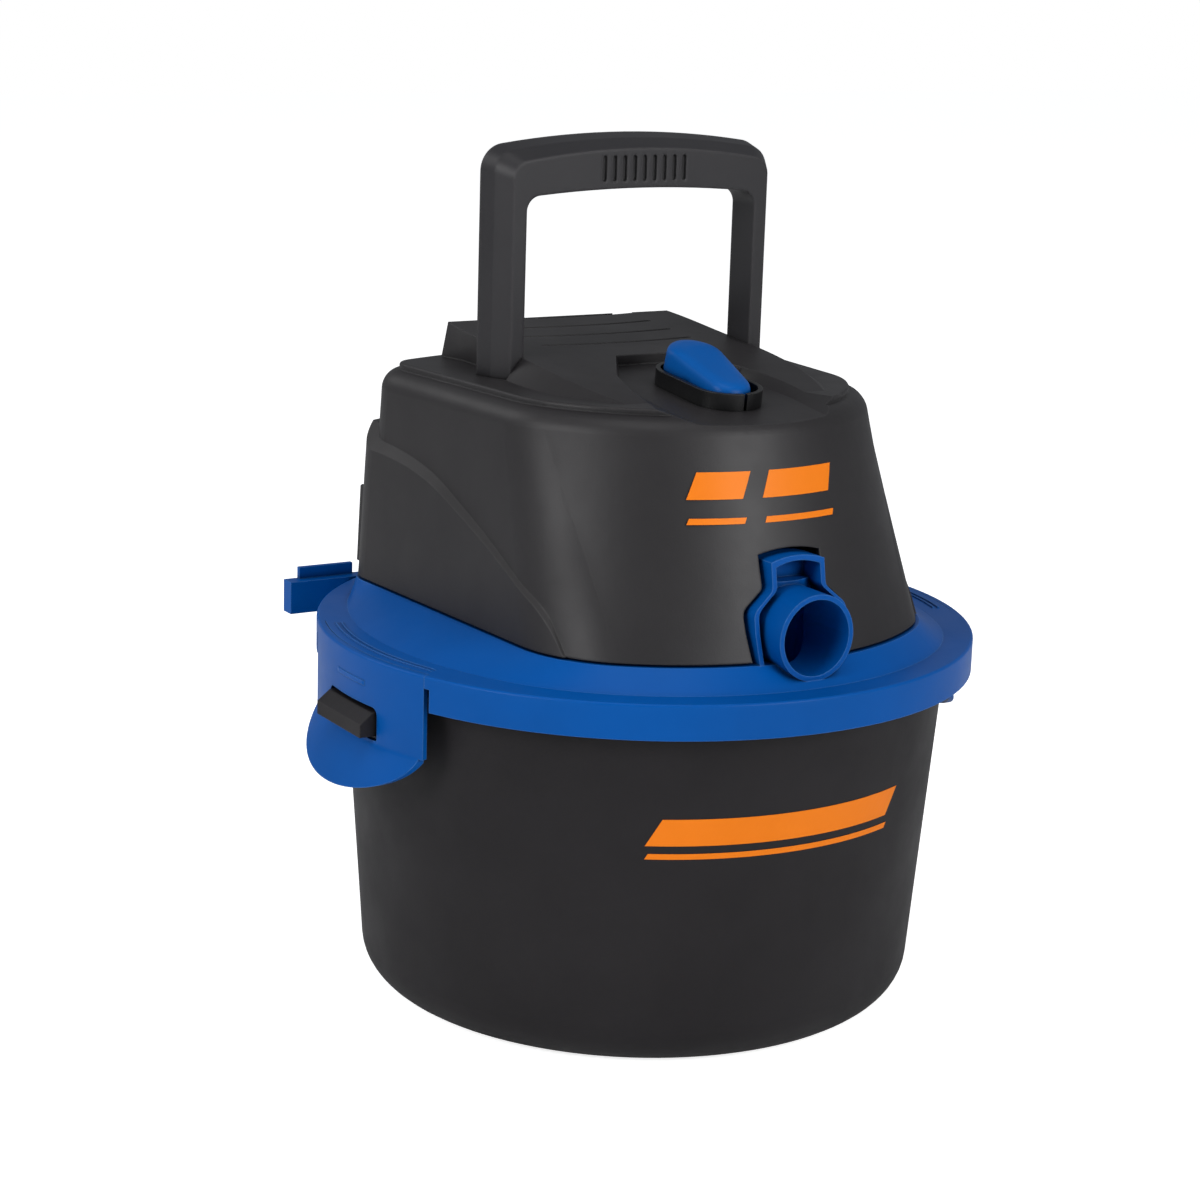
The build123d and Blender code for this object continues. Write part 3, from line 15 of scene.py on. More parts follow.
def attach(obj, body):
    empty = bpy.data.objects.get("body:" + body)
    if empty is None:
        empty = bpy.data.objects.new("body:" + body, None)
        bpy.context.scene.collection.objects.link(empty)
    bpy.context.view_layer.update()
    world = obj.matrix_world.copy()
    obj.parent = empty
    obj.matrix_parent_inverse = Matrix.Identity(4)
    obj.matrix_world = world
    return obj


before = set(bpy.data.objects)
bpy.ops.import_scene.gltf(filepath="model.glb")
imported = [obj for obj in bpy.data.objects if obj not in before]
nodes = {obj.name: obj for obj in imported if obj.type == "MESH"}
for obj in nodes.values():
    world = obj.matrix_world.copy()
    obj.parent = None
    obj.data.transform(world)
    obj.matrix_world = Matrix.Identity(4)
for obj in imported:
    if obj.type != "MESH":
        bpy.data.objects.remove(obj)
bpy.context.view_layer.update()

# %% [markdown]
# ## Shared surface effects
# Every moulded part has the same five small effects: a fine grain from the etched mould, a slow drift of
# tone, patches where hands have rubbed it smoother, a painted highlight along its edges, and painted shade,
# with a little dust, in its grooves. Each is a node group with named inputs, built once and placed in every
# material with its own values. A group only gives out what changes over the surface.


# %% A helper that starts a node group
def new_group(name, inputs, outputs):
    """Empty shader group with the named sockets; returns the group, its entry node and its leaving node."""
    group = bpy.data.node_groups.new(name, "ShaderNodeTree")
    for label, kind, default in inputs:
        socket = group.interface.new_socket(name=label, in_out="INPUT", socket_type=kind)
        if default is not None:
            socket.default_value = default
    for label, kind in outputs:
        group.interface.new_socket(name=label, in_out="OUTPUT", socket_type=kind)
    entry = group.nodes.new("NodeGroupInput")
    leave = group.nodes.new("NodeGroupOutput")
    return group, entry, leave


VECTOR = "NodeSocketVector"
FLOAT = "NodeSocketFloat"
COLOUR = "NodeSocketColor"
print("socket kinds:", VECTOR, FLOAT, COLOUR)


# %% Mould grain: the height of a fine etched texture
CELL_SHARE = 0.6  # how much the cells count beside the fuzz


def make_mould_grain():
    group, entry, leave = new_group(
        "mould_grain",
        [("Place", VECTOR, None), ("Cells Per Metre", FLOAT, 1500.0)],
        [("Height", FLOAT)])
    cells = group.nodes.new("ShaderNodeTexVoronoi")
    cells.feature = "SMOOTH_F1"
    fuzz = group.nodes.new("ShaderNodeTexNoise")
    fuzz.inputs["Detail"].default_value = 2.0
    mix = group.nodes.new("ShaderNodeMath")
    mix.operation = "MULTIPLY_ADD"
    mix.inputs[1].default_value = CELL_SHARE
    group.links.new(entry.outputs["Place"], cells.inputs["Vector"])
    group.links.new(entry.outputs["Place"], fuzz.inputs["Vector"])
    group.links.new(entry.outputs["Cells Per Metre"], cells.inputs["Scale"])
    group.links.new(entry.outputs["Cells Per Metre"], fuzz.inputs["Scale"])
    group.links.new(cells.outputs["Distance"], mix.inputs[0])
    group.links.new(fuzz.outputs["Fac"], mix.inputs[2])
    group.links.new(mix.outputs[0], leave.inputs["Height"])
    return group


mould_grain = make_mould_grain()
print("group:", mould_grain.name)


# %% Tone drift: the colour wanders a little between two tones
def make_tone_drift():
    group, entry, leave = new_group(
        "tone_drift",
        [("Place", VECTOR, None), ("Tone", COLOUR, (0.1, 0.1, 0.1, 1)),
         ("Other Tone", COLOUR, (0.2, 0.2, 0.2, 1)), ("Patches Per Metre", FLOAT, 14.0)],
        [("Color", COLOUR)])
    patches = group.nodes.new("ShaderNodeTexNoise")
    patches.inputs["Detail"].default_value = 4.0
    patches.inputs["Roughness"].default_value = 0.55
    spread = group.nodes.new("ShaderNodeMapRange")
    spread.inputs["From Min"].default_value = 0.35
    spread.inputs["From Max"].default_value = 0.65
    blend = group.nodes.new("ShaderNodeMix")
    blend.data_type = "RGBA"
    group.links.new(entry.outputs["Place"], patches.inputs["Vector"])
    group.links.new(entry.outputs["Patches Per Metre"], patches.inputs["Scale"])
    group.links.new(patches.outputs["Fac"], spread.inputs["Value"])
    group.links.new(spread.outputs["Result"], blend.inputs["Factor"])
    group.links.new(entry.outputs["Tone"], blend.inputs["A"])
    group.links.new(entry.outputs["Other Tone"], blend.inputs["B"])
    group.links.new(blend.outputs["Result"], leave.inputs["Color"])
    return group


tone_drift = make_tone_drift()
print("group:", tone_drift.name)


# %% Rubbed gloss: roughness that falls where the surface has been handled
def make_rubbed_gloss():
    group, entry, leave = new_group(
        "rubbed_gloss",
        [("Place", VECTOR, None), ("Rough", FLOAT, 0.5), ("Smooth", FLOAT, 0.35),
         ("Rubs Per Metre", FLOAT, 30.0)],
        [("Roughness", FLOAT)])
    rubs = group.nodes.new("ShaderNodeTexNoise")
    rubs.inputs["Detail"].default_value = 6.0
    rubs.inputs["Roughness"].default_value = 0.6
    spread = group.nodes.new("ShaderNodeMapRange")
    spread.inputs["From Min"].default_value = 0.3
    spread.inputs["From Max"].default_value = 0.7
    group.links.new(entry.outputs["Place"], rubs.inputs["Vector"])
    group.links.new(entry.outputs["Rubs Per Metre"], rubs.inputs["Scale"])
    group.links.new(rubs.outputs["Fac"], spread.inputs["Value"])
    group.links.new(entry.outputs["Rough"], spread.inputs["To Min"])
    group.links.new(entry.outputs["Smooth"], spread.inputs["To Max"])
    group.links.new(spread.outputs["Result"], leave.inputs["Roughness"])
    return group


rubbed_gloss = make_rubbed_gloss()
print("group:", rubbed_gloss.name)


# %% Painted edge highlight: the colour lightens where two faces meet, as if a rounded edge caught the light
AGREE_START = 0.99  # paling starts where the rounded and the true normal agree this much
AGREE_FULL = 0.86


def make_painted_edge_highlight():
    group, entry, leave = new_group(
        "painted_edge_highlight",
        [("Color", COLOUR, (0.1, 0.1, 0.1, 1)), ("Edge Tone", COLOUR, (0.3, 0.3, 0.3, 1)),
         ("Rounded Normal", VECTOR, None), ("Amount", FLOAT, 0.5)],
        [("Color", COLOUR)])
    flat = group.nodes.new("ShaderNodeNewGeometry")
    agree = group.nodes.new("ShaderNodeVectorMath")
    agree.operation = "DOT_PRODUCT"
    spread = group.nodes.new("ShaderNodeMapRange")
    spread.inputs["From Min"].default_value = AGREE_START
    spread.inputs["From Max"].default_value = AGREE_FULL
    spread.inputs["To Min"].default_value = 0.0
    blend = group.nodes.new("ShaderNodeMix")
    blend.data_type = "RGBA"
    group.links.new(entry.outputs["Rounded Normal"], agree.inputs[0])
    group.links.new(flat.outputs["Normal"], agree.inputs[1])
    group.links.new(agree.outputs["Value"], spread.inputs["Value"])
    group.links.new(entry.outputs["Amount"], spread.inputs["To Max"])
    group.links.new(spread.outputs["Result"], blend.inputs["Factor"])
    group.links.new(entry.outputs["Color"], blend.inputs["A"])
    group.links.new(entry.outputs["Edge Tone"], blend.inputs["B"])
    group.links.new(blend.outputs["Result"], leave.inputs["Color"])
    return group


painted_edge_highlight = make_painted_edge_highlight()
print("group:", painted_edge_highlight.name)


# %% Painted shade and dust: the colour darkens in grooves and corners, where little open sky reaches
CLOSED_IN = 0.40  # share of open sky at which a spot is darkest
IN_THE_OPEN = 0.90


def make_groove_dust_and_painted_shade():
    group, entry, leave = new_group(
        "groove_dust_and_painted_shade",
        [("Color", COLOUR, (0.1, 0.1, 0.1, 1)), ("Openness", FLOAT, 1.0), ("Darkest", FLOAT, 0.4)],
        [("Color", COLOUR)])
    spread = group.nodes.new("ShaderNodeMapRange")
    spread.inputs["From Min"].default_value = CLOSED_IN
    spread.inputs["From Max"].default_value = IN_THE_OPEN
    spread.inputs["To Max"].default_value = 1.0
    shade = group.nodes.new("ShaderNodeVectorMath")
    shade.operation = "SCALE"
    group.links.new(entry.outputs["Openness"], spread.inputs["Value"])
    group.links.new(entry.outputs["Darkest"], spread.inputs["To Min"])
    group.links.new(entry.outputs["Color"], shade.inputs[0])
    group.links.new(spread.outputs["Result"], shade.inputs["Scale"])
    group.links.new(shade.outputs["Vector"], leave.inputs["Color"])
    return group


groove_dust_and_painted_shade = make_groove_dust_and_painted_shade()
print("group:", groove_dust_and_painted_shade.name)

# %% [markdown]
# ## Materials
# A maker thinks of a plastic as pellets of one colour shot into an etched or polished mould. So one function
# makes them all: the tone, how shiny the mould left it, how coarse the grain is and how softly its edges are
# rounded. The rounding is only in the shading, and stands for the small radius of every moulded edge. The
# Bevel and Ambient Occlusion nodes stay in the material, and hand the groups a normal and a share of sky.

# %% Helpers for materials
# How far the painted shade in grooves reaches, in metres
CREVICE_REACH = 0.004
BUMP_STRENGTH = 0.5


def place_group(tree, group, **values):
    """Puts a shared group into a material and sets its inputs; underscores in names stand for spaces."""
    node = tree.nodes.new("ShaderNodeGroup")
    node.node_tree = group
    for label, value in values.items():
        node.inputs[label.replace("_", " ")].default_value = value
    return node


def opaque(rgb):
    """Colour with full alpha."""
    return (rgb[0], rgb[1], rgb[2], 1.0)


def surface(name, tone, other_tone, rough, smooth, metallic=0.0, cells=1500.0, depth=0.00003,
            edge=0.0006, patches=14.0, specular=0.5, pale=(0.3, 0.3, 0.3), amount=0.0, darkest=0.2):
    """Material of one finish, from the five shared effects and a rounded-edge normal.

    cells, depth: grain per metre and its height in metres; edge: radius of the shaded edges in metres;
    pale, amount: tone and strength of the painted highlight along edges; darkest: what is left of the colour
    under the painted shade in a groove.
    """
    material = bpy.data.materials.new(name)
    material.use_nodes = True
    tree = material.node_tree
    shader = tree.nodes["Principled BSDF"]
    shader.inputs["Metallic"].default_value = metallic
    shader.inputs["Specular IOR Level"].default_value = specular
    where = tree.nodes.new("ShaderNodeTexCoord").outputs["Object"]
    drift = place_group(tree, tone_drift, Tone=opaque(tone), Other_Tone=opaque(other_tone),
                        Patches_Per_Metre=patches)
    gloss = place_group(tree, rubbed_gloss, Rough=rough, Smooth=smooth)
    grain = place_group(tree, mould_grain, Cells_Per_Metre=cells)
    for effect in (drift, gloss, grain):
        tree.links.new(where, effect.inputs["Place"])
    rounded = tree.nodes.new("ShaderNodeBevel")
    rounded.samples = 4
    rounded.inputs["Radius"].default_value = edge
    bump = tree.nodes.new("ShaderNodeBump")
    bump.inputs["Strength"].default_value = BUMP_STRENGTH
    bump.inputs["Distance"].default_value = depth
    tree.links.new(grain.outputs["Height"], bump.inputs["Height"])
    tree.links.new(rounded.outputs["Normal"], bump.inputs["Normal"])
    # Painted highlight: the colour turns towards the edge tone where the rounded normal leaves the true one
    edge_highlight = place_group(tree, painted_edge_highlight, Edge_Tone=opaque(pale), Amount=amount)
    tree.links.new(drift.outputs["Color"], edge_highlight.inputs["Color"])
    tree.links.new(rounded.outputs["Normal"], edge_highlight.inputs["Rounded Normal"])
    # Painted shade, with a little dust: the colour darkens where the Ambient Occlusion node finds little open
    # sky
    open_sky = tree.nodes.new("ShaderNodeAmbientOcclusion")
    open_sky.samples = 6
    open_sky.inputs["Distance"].default_value = CREVICE_REACH
    dust_and_painted_shade = place_group(tree, groove_dust_and_painted_shade, Darkest=darkest)
    tree.links.new(edge_highlight.outputs["Color"], dust_and_painted_shade.inputs["Color"])
    tree.links.new(open_sky.outputs["AO"], dust_and_painted_shade.inputs["Openness"])
    tree.links.new(dust_and_painted_shade.outputs["Color"], shader.inputs["Base Color"])
    tree.links.new(gloss.outputs["Roughness"], shader.inputs["Roughness"])
    tree.links.new(bump.outputs["Normal"], shader.inputs["Normal"])
    return material


def finish_node(node, material):
    """Gives a solid of the frame its finish."""
    slots = nodes[node].data.materials
    slots.clear()
    slots.append(material)


print("grooves darken within", CREVICE_REACH * 1000, "mm")

# %% [markdown]
# ### Charcoal plastic of the tank and the housing
# Both are polypropylene in a warm dark grey with a matt etched grain, so highlights are broad and soft. The
# tank is a little darker and coarser than the housing.

# %% Charcoal finishes
# Tone of the painted highlight along the charcoal parts' edges
CHARCOAL_EDGE_HIGHLIGHT = (0.06, 0.058, 0.06)
tank_plastic = surface(
    "tank_charcoal", (0.0120, 0.0108, 0.0122), (0.0150, 0.0136, 0.0152), 0.58, 0.48,
    cells=1300.0, depth=0.00005, edge=0.001, specular=0.19, pale=CHARCOAL_EDGE_HIGHLIGHT, amount=0.5)
housing_plastic = surface(
    "housing_charcoal", (0.0145, 0.0132, 0.0145), (0.0178, 0.0163, 0.0176), 0.52, 0.44,
    cells=1500.0, depth=0.00004, edge=0.0010, specular=0.34, pale=CHARCOAL_EDGE_HIGHLIGHT, amount=0.6)
finish_node("tank", tank_plastic)
finish_node("motor_housing", housing_plastic)
print("charcoal on tank and motor_housing")

# %% [markdown]
# ### Blue plastic of the lid, the latches and the rocker
# The blue parts come from a smoother mould, so their grain is finer and shallower and they shine more evenly.
# Their edges carry a painted highlight in a paler blue. The rocker is a touch lighter than the lid.

# %% Blue finishes
lid_plastic = surface(
    "lid_blue", (0.0000, 0.0700, 0.3000), (0.0000, 0.0780, 0.3350), 0.40, 0.32,
    cells=2200.0, depth=0.00002, edge=0.0007, specular=0.10, pale=(0.075, 0.22, 0.55), amount=0.7)
rocker_plastic = surface(
    "rocker_blue", (0.0005, 0.0790, 0.3200), (0.0010, 0.0880, 0.3500), 0.42, 0.34,
    cells=2200.0, depth=0.00002, edge=0.0006, specular=0.12, pale=(0.05, 0.20, 0.52), amount=0.4)
for node in ("lid", "latch_left", "latch_right"):
    finish_node(node, lid_plastic)
finish_node("switch_rocker", rocker_plastic)
print("blue on the lid, both latches and the rocker")

# %% [markdown]
# ### Black plastic of the handle and the switch's collar
# These are tougher parts in a nearly black plastic. The handle is polished a little by hands.

# %% Black finishes
# Both carry a painted highlight along their edges, in a grey just above their own tone
handle_plastic = surface(
    "handle_black", (0.0150, 0.0142, 0.0165), (0.0190, 0.0180, 0.0205), 0.50, 0.40,
    cells=1600.0, depth=0.00003, edge=0.0020, specular=0.36, pale=(0.070, 0.066, 0.070), amount=0.6)
bezel_plastic = surface(
    "bezel_black", (0.0050, 0.0050, 0.0055), (0.0070, 0.0070, 0.0075), 0.42, 0.34,
    cells=2200.0, depth=0.00002, edge=0.0005, specular=0.30, pale=(0.05, 0.05, 0.05), amount=0.6)
finish_node("handle", handle_plastic)
finish_node("switch_bezel", bezel_plastic)
finish_node("switch_body", bezel_plastic)
print("black on the handle and the switch")

# %% [markdown]
# ### The pieces inside
# They show only when the head is lifted off or through the inlet, but each has its own stuff: soft rubber
# for seals, pressed sheet metal for the fan, stacked iron plates, copper, carbon, open foam and zinc-plated
# screws.

# %% Finishes of the inner pieces
rubber = surface(
    "seal_rubber", (0.012, 0.012, 0.012), (0.020, 0.020, 0.020), 0.85, 0.7, cells=900.0, depth=0.00005)
sheet_metal = surface(
    "pressed_metal", (0.50, 0.50, 0.51), (0.60, 0.60, 0.61), 0.42, 0.28,
    metallic=1.0, cells=2500.0, depth=0.00001, edge=0.0003)
steel = surface(
    "plated_steel", (0.46, 0.46, 0.47), (0.58, 0.57, 0.55), 0.38, 0.24,
    metallic=1.0, cells=3000.0, depth=0.00001, edge=0.0002)
iron = surface(
    "iron_plates", (0.16, 0.16, 0.165), (0.22, 0.21, 0.20), 0.6, 0.45,
    metallic=1.0, cells=1800.0, depth=0.00003, edge=0.0002)
copper = surface(
    "enamelled_copper", (0.42, 0.14, 0.06), (0.55, 0.20, 0.09), 0.4, 0.28,
    metallic=1.0, cells=2500.0, depth=0.00005, edge=0.0003)
brass = surface(
    "brass_holder", (0.55, 0.40, 0.16), (0.66, 0.49, 0.22), 0.4, 0.28, metallic=1.0, edge=0.0003)
carbon = surface("carbon_brush", (0.020, 0.020, 0.021), (0.035, 0.035, 0.036), 0.7, 0.55, edge=0.0002)
cage_plastic = surface("cage_black", (0.018, 0.018, 0.019), (0.024, 0.024, 0.025), 0.5, 0.4, edge=0.0005)
float_plastic = surface("float_white", (0.62, 0.62, 0.58), (0.70, 0.70, 0.66), 0.45, 0.36, edge=0.0006)
foam = surface(
    "open_foam", (0.014, 0.014, 0.016), (0.035, 0.035, 0.038), 1.0, 0.9,
    cells=520.0, depth=0.0011, edge=0.002, patches=300.0)
print("inner materials: 10")

# %% Which inner piece is made of what
inner_finishes = {
    "lid_gasket": rubber, "motor_gasket": rubber, "cord_gland": rubber,
    "fan_case": sheet_metal, "impeller": sheet_metal,
    "motor_frame_lower": sheet_metal, "motor_frame_upper": sheet_metal,
    "bearings": steel, "motor_shaft": steel, "rocker_pin": steel,
    "housing_screws": steel, "handle_screws": steel, "motor_screws": steel,
    "frame_screws": steel, "cage_screws": steel,
    "stator": iron, "armature": iron,
    "field_coils": copper, "commutator": copper,
    "brush_holders": brass, "brushes": carbon,
    "cooling_fan": cage_plastic, "filter_cage": cage_plastic,
    "float_cup": float_plastic, "foam_sleeve": foam,
}
for node, material in inner_finishes.items():
    finish_node(node, material)
print("inner finishes:", len(inner_finishes))

# %% [markdown]
# ## Softened rocker
# A finger tips the rocker, so its mould has generous round edges. A voxel remesh lays an even grid of small
# faces over the solid, and a few rounds of smoothing then pull the sharp edges in. Both are modifiers, so the
# solid underneath keeps its own shape.


# %% Remesh and smooth a node
SMOOTHING = 0.5


def soften(node, voxel, rounds):
    """Rounds the edges of a solid by a fine remesh and rounds of smoothing."""
    solid = nodes[node]
    grid = solid.modifiers.new("even_faces", "REMESH")
    grid.mode = "VOXEL"
    grid.voxel_size = voxel
    grid.use_smooth_shade = True
    soft_edge = solid.modifiers.new("soft_edges", "SMOOTH")
    soft_edge.factor = SMOOTHING
    soft_edge.iterations = rounds
    print(node, "softened with faces of", voxel * 1000, "mm")


soften("switch_rocker", voxel=0.0006, rounds=32)

# %% [markdown]
# ## Painted marks
# The real machine carries orange printing on the tank and on the housing's front. Here the print is plain
# stripes. Each stripe is a thin closed skin that follows the tapered wall a tenth of a millimetre above it: a
# grid of points is laid out flat, by angle round the wall and by height, and each point is pushed onto the
# cone. A second grid underneath and a narrow wall round the edge close it, so that it is a solid piece.

# %% Orange ink
ink = surface(
    "orange_ink", (0.76, 0.180, 0.006), (0.82, 0.200, 0.010), 0.46, 0.38,
    cells=2600.0, depth=0.00001, edge=0.0001, specular=0.12)
INK_PROUD = 0.00012
INK_UNDER = 0.00002
print("ink stands", INK_PROUD * 1000, "mm above the wall")


# %% Helpers for thin pieces that follow a wall
def tapered_wall(low_z, low_radius, high_z, high_radius):
    """Function that gives the wall's radius at a height."""
    def radius(z):
        return low_radius + (high_radius - low_radius) * (z - low_z) / (high_z - low_z)
    return radius


def closed_skin(name, outer, inner, material, body):
    """Thin closed piece between two grids of points of the same layout; it rides on a body."""
    mesh = bmesh.new()
    top = [[mesh.verts.new(point) for point in line] for line in outer]
    under = [[mesh.verts.new(point) for point in line] for line in inner]
    last_column = len(top) - 1
    last_row = len(top[0]) - 1
    for i in range(last_column):
        for j in range(last_row):
            mesh.faces.new((top[i][j], top[i + 1][j], top[i + 1][j + 1], top[i][j + 1]))
            mesh.faces.new((under[i][j], under[i][j + 1], under[i + 1][j + 1], under[i + 1][j]))
    for i in range(last_column):
        for j in (0, last_row):
            mesh.faces.new((top[i][j], top[i + 1][j], under[i + 1][j], under[i][j]))
    for j in range(last_row):
        for i in (0, last_column):
            mesh.faces.new((top[i][j], top[i][j + 1], under[i][j + 1], under[i][j]))
    bmesh.ops.recalc_face_normals(mesh, faces=mesh.faces)
    data = bpy.data.meshes.new(name)
    mesh.to_mesh(data)
    mesh.free()
    data.materials.append(material)
    piece = bpy.data.objects.new(name, data)
    bpy.context.scene.collection.objects.link(piece)
    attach(piece, body)
    return piece


# %% A stripe of ink
def print_stripe(name, wall, angles, heights, slant, body):
    """Stripe of ink on a tapered wall, between two heights and two angles from the front.

    Its ends lean by slant degrees from the lower edge to the upper one.
    """
    columns = 40
    rows = 3

    def layer(proud):
        grid = []
        for i in range(columns + 1):
            line = []
            for j in range(rows + 1):
                z = heights[0] + (heights[1] - heights[0]) * j / rows
                angle = radians(
                    angles[0] + (angles[1] - angles[0]) * i / columns + slant * j / rows)
                r = wall(z) + proud
                line.append((r * sin(angle), -r * cos(angle), z))
            grid.append(line)
        return grid

    return closed_skin(name, layer(INK_PROUD), layer(INK_UNDER), ink, body)


# %% Stripes on the tank and on the housing
tank_wall = tapered_wall(low_z=0.0, low_radius=0.1265, high_z=0.157, high_radius=0.138)
housing_wall = tapered_wall(low_z=0.1808, low_radius=0.126, high_z=0.2788, high_radius=0.095)
TANK_ANGLES = (-31, 21)
print_stripe(
    "tank_stripe_wide", tank_wall, TANK_ANGLES, (0.1045, 0.1165), 3.0, "tank")
print_stripe(
    "tank_stripe_thin", tank_wall, TANK_ANGLES, (0.0985, 0.1010), 0.6, "tank")
for end, angles in (("left", (-24.0, -10.5)), ("right", (-5.5, 14.0))):
    print_stripe("housing_stripe_wide_" + end, housing_wall, angles, (0.2465, 0.2575), 2.5,
                 "head")
    print_stripe("housing_stripe_thin_" + end, housing_wall, angles, (0.2365, 0.2390), 0.6,
                 "head")
print("stripes of ink: 6")

# %% [markdown]
# ## Raised bars on the latch tabs
# Each tab has a short raised bar over its window, where the real one shows a small moulded mark. It is a
# curved pad that follows the tab's outer face and ends in sloped edges. Its underside is sunk a little into
# the tab, so that no slit shows between them.

# %% A curved pad on the outer face of a tab
SUNK = 0.0001
TAB_FACE = 0.15005
BAR_HALF_ANGLE = 5.0
BAR_HEIGHTS = (0.1575, 0.1600)
BAR_LIFT = 0.0004


def raised_bar(name, side, radius, half_angle, heights, lift, body):
    """Thin pad on the tab's cylinder, centred on the X axis, with its rim drawn down to the face."""
    columns = 16
    low, high = heights
    steps = ((low, 0.0), (low + lift, lift), (high - lift, lift), (high, 0.0))
    outer = []
    inner = []
    for i in range(columns + 1):
        angle = radians(half_angle * (2 * i / columns - 1))
        share = 0.0 if i in (0, columns) else 1.0
        outer.append([(side * (radius + out * share) * cos(angle),
                       (radius + out * share) * sin(angle), height) for height, out in steps])
        inner.append([(side * (radius - SUNK) * cos(angle),
                       (radius - SUNK) * sin(angle), height) for height, out in steps])
    return closed_skin(name, outer, inner, lid_plastic, body)


for side, body in ((-1, "latch_left"), (1, "latch_right")):
    raised_bar("raised_bar_" + body, side, TAB_FACE, BAR_HALF_ANGLE, BAR_HEIGHTS, BAR_LIFT, body)
print("raised bars: 2")

# %% [markdown]
# ## Ribs over the latches
# Where a tab bends, the lid's flat edge is stiffened by two thin ribs that run round it side by side. Each is
# a strip swept along an arc, with a top face and two sloped sides that end on the lid.

# %% Thin ribs on the lid's edge
LID_TOP = 0.1705
RIB_RADII = (("inner", 0.1398), ("outer", 0.1424))
RIB_HALF_ANGLE = 19.0
RIB_HALF_WIDTH = 0.0006
RIB_HEIGHT = 0.0006


def raised_rib(name, side, radius, half_angle, half_width, height):
    """Rib along an arc on the lid's edge, centred on the X axis."""
    columns = 40
    crest = half_width / 2
    steps = ((-half_width, 0.0), (-crest, height), (crest, height), (half_width, 0.0))
    outer = []
    inner = []
    for i in range(columns + 1):
        angle = radians(half_angle * (2 * i / columns - 1))
        share = 0.0 if i in (0, columns) else 1.0
        outer.append([(side * (radius + out) * cos(angle), (radius + out) * sin(angle),
                       LID_TOP + up * share) for out, up in steps])
        inner.append([(side * (radius + out) * cos(angle), (radius + out) * sin(angle),
                       LID_TOP - SUNK) for out, up in steps])
    return closed_skin(name, outer, inner, lid_plastic, "head")


for side, word in ((-1, "left"), (1, "right")):
    for row, radius in RIB_RADII:
        raised_rib("latch_rib_" + word + "_" + row, side, radius, RIB_HALF_ANGLE, RIB_HALF_WIDTH,
                   RIB_HEIGHT)
print("ribs over the latches: 4")

# %% [markdown]
# ## Floor, lamps and camera
# The floor is a pale sheet that shows nearly white to the camera but still takes the object's shadow. Four
# soft square lamps light it: one at the left, one at the front, and weaker ones above and behind.

# %% Pale floor
FLOOR_SIZE = 12.0
FLOOR_GLOW = 0.78  # what the camera's rays see on top of the lit colour
bpy.ops.mesh.primitive_plane_add(size=FLOOR_SIZE)
floor = bpy.context.object
floor.name = "floor"
floor_paint = bpy.data.materials.new("floor_paint")
floor_paint.use_nodes = True
paint_tree = floor_paint.node_tree
paint_shader = paint_tree.nodes["Principled BSDF"]
paint_shader.inputs["Base Color"].default_value = (0.86, 0.86, 0.86, 1)
paint_shader.inputs["Roughness"].default_value = 0.9
paint_shader.inputs["Specular IOR Level"].default_value = 0.0
paint_shader.inputs["Emission Color"].default_value = (1.0, 1.0, 1.0, 1)
ray_kind = paint_tree.nodes.new("ShaderNodeLightPath")
glow = paint_tree.nodes.new("ShaderNodeMath")
glow.operation = "MULTIPLY"
glow.inputs[1].default_value = FLOOR_GLOW
paint_tree.links.new(ray_kind.outputs["Is Camera Ray"], glow.inputs[0])
paint_tree.links.new(glow.outputs[0], paint_shader.inputs["Emission Strength"])
floor.data.materials.append(floor_paint)
print("floor size:", floor.dimensions.x)

# %% World: white to the eye, soft grey to the surfaces
SEEN_STRENGTH = 1.0
SOFT_STRENGTH = 0.26
world = bpy.data.worlds.new("studio")
bpy.context.scene.world = world
world.use_nodes = True
sky_tree = world.node_tree
sky_tree.nodes.clear()
seen = sky_tree.nodes.new("ShaderNodeBackground")
seen.inputs["Color"].default_value = (1.0, 1.0, 1.0, 1)
seen.inputs["Strength"].default_value = SEEN_STRENGTH
soft = sky_tree.nodes.new("ShaderNodeBackground")
soft.inputs["Color"].default_value = (0.93, 0.96, 1.0, 1)
soft.inputs["Strength"].default_value = SOFT_STRENGTH
path = sky_tree.nodes.new("ShaderNodeLightPath")
choice = sky_tree.nodes.new("ShaderNodeMixShader")
sky_output = sky_tree.nodes.new("ShaderNodeOutputWorld")
sky_tree.links.new(path.outputs["Is Camera Ray"], choice.inputs["Fac"])
sky_tree.links.new(soft.outputs[0], choice.inputs[1])
sky_tree.links.new(seen.outputs[0], choice.inputs[2])
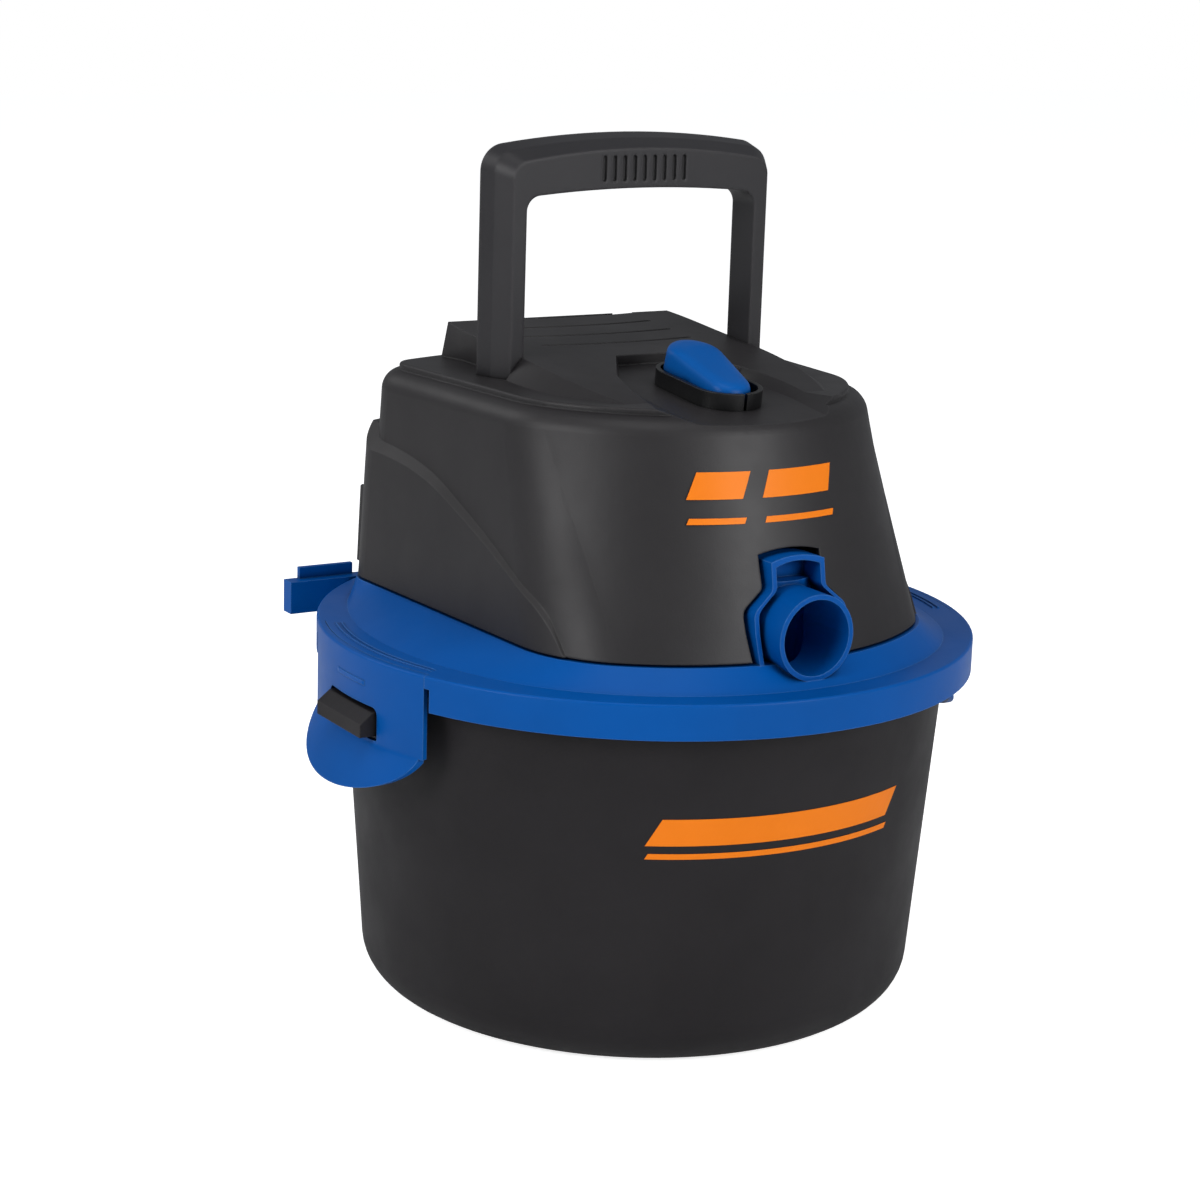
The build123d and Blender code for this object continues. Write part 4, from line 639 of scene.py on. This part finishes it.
sky_tree.links.new(choice.outputs[0], sky_output.inputs["Surface"])
print("world:", world.name)


# %% Lamps
def soft_lamp(name, place, aim, size, watts):
    """Square area lamp that looks at a point."""
    light = bpy.data.lights.new(name, "AREA")
    light.shape = "SQUARE"
    light.size = size
    light.energy = watts
    lamp = bpy.data.objects.new(name, light)
    lamp.location = place
    lamp.rotation_euler = (Vector(aim) - Vector(place)).to_track_quat("-Z", "Y").to_euler()
    bpy.context.scene.collection.objects.link(lamp)
    return lamp


middle = (0.0, 0.0, 0.2)
soft_lamp("left_lamp", (-1.95, -0.36, 1.05), middle, size=0.8, watts=20.0)
soft_lamp("right_lamp", (0.55, -1.92, 0.95), middle, size=0.9, watts=24.0)
soft_lamp("top_lamp", (-0.3, -0.4, 1.9), middle, size=1.2, watts=8.0)
soft_lamp("back_lamp", (-1.3, 1.6, 1.5), middle, size=1.0, watts=9.0)
print("lamps: 4")

# %% [markdown]
# ## Camera
# A long lens a little over a metre away, looking slightly down from the left front. Its azimuth is in
# degrees, and the three small turns are in radians.

# %% Place the camera
CAMERA_AZIMUTH = -32.5
CAMERA_DISTANCE = 1.2315
CAMERA_HEIGHT = 0.4779
LOOK_DOWN = 0.2397
LOOK_ASIDE = -0.0168
ROLL = 0.0319
LENS = 82.83
SENSOR_WIDTH = 36.0
eye = bpy.data.cameras.new("eye")
eye.lens = LENS
eye.sensor_width = SENSOR_WIDTH
camera = bpy.data.objects.new("camera", eye)
bpy.context.scene.collection.objects.link(camera)
turn = radians(CAMERA_AZIMUTH)
stand = Vector((CAMERA_DISTANCE * sin(turn), -CAMERA_DISTANCE * cos(turn), CAMERA_HEIGHT))
heading = Matrix.Rotation(turn - LOOK_ASIDE, 4, "Z")
tilt = Matrix.Rotation(pi / 2 - LOOK_DOWN, 4, "X")
roll = Matrix.Rotation(ROLL, 4, "Z")
camera.matrix_world = Matrix.Translation(stand) @ heading @ tilt @ roll
bpy.context.scene.camera = camera
bpy.context.scene.view_settings.view_transform = "Standard"
print("camera at", [round(v, 3) for v in stand])
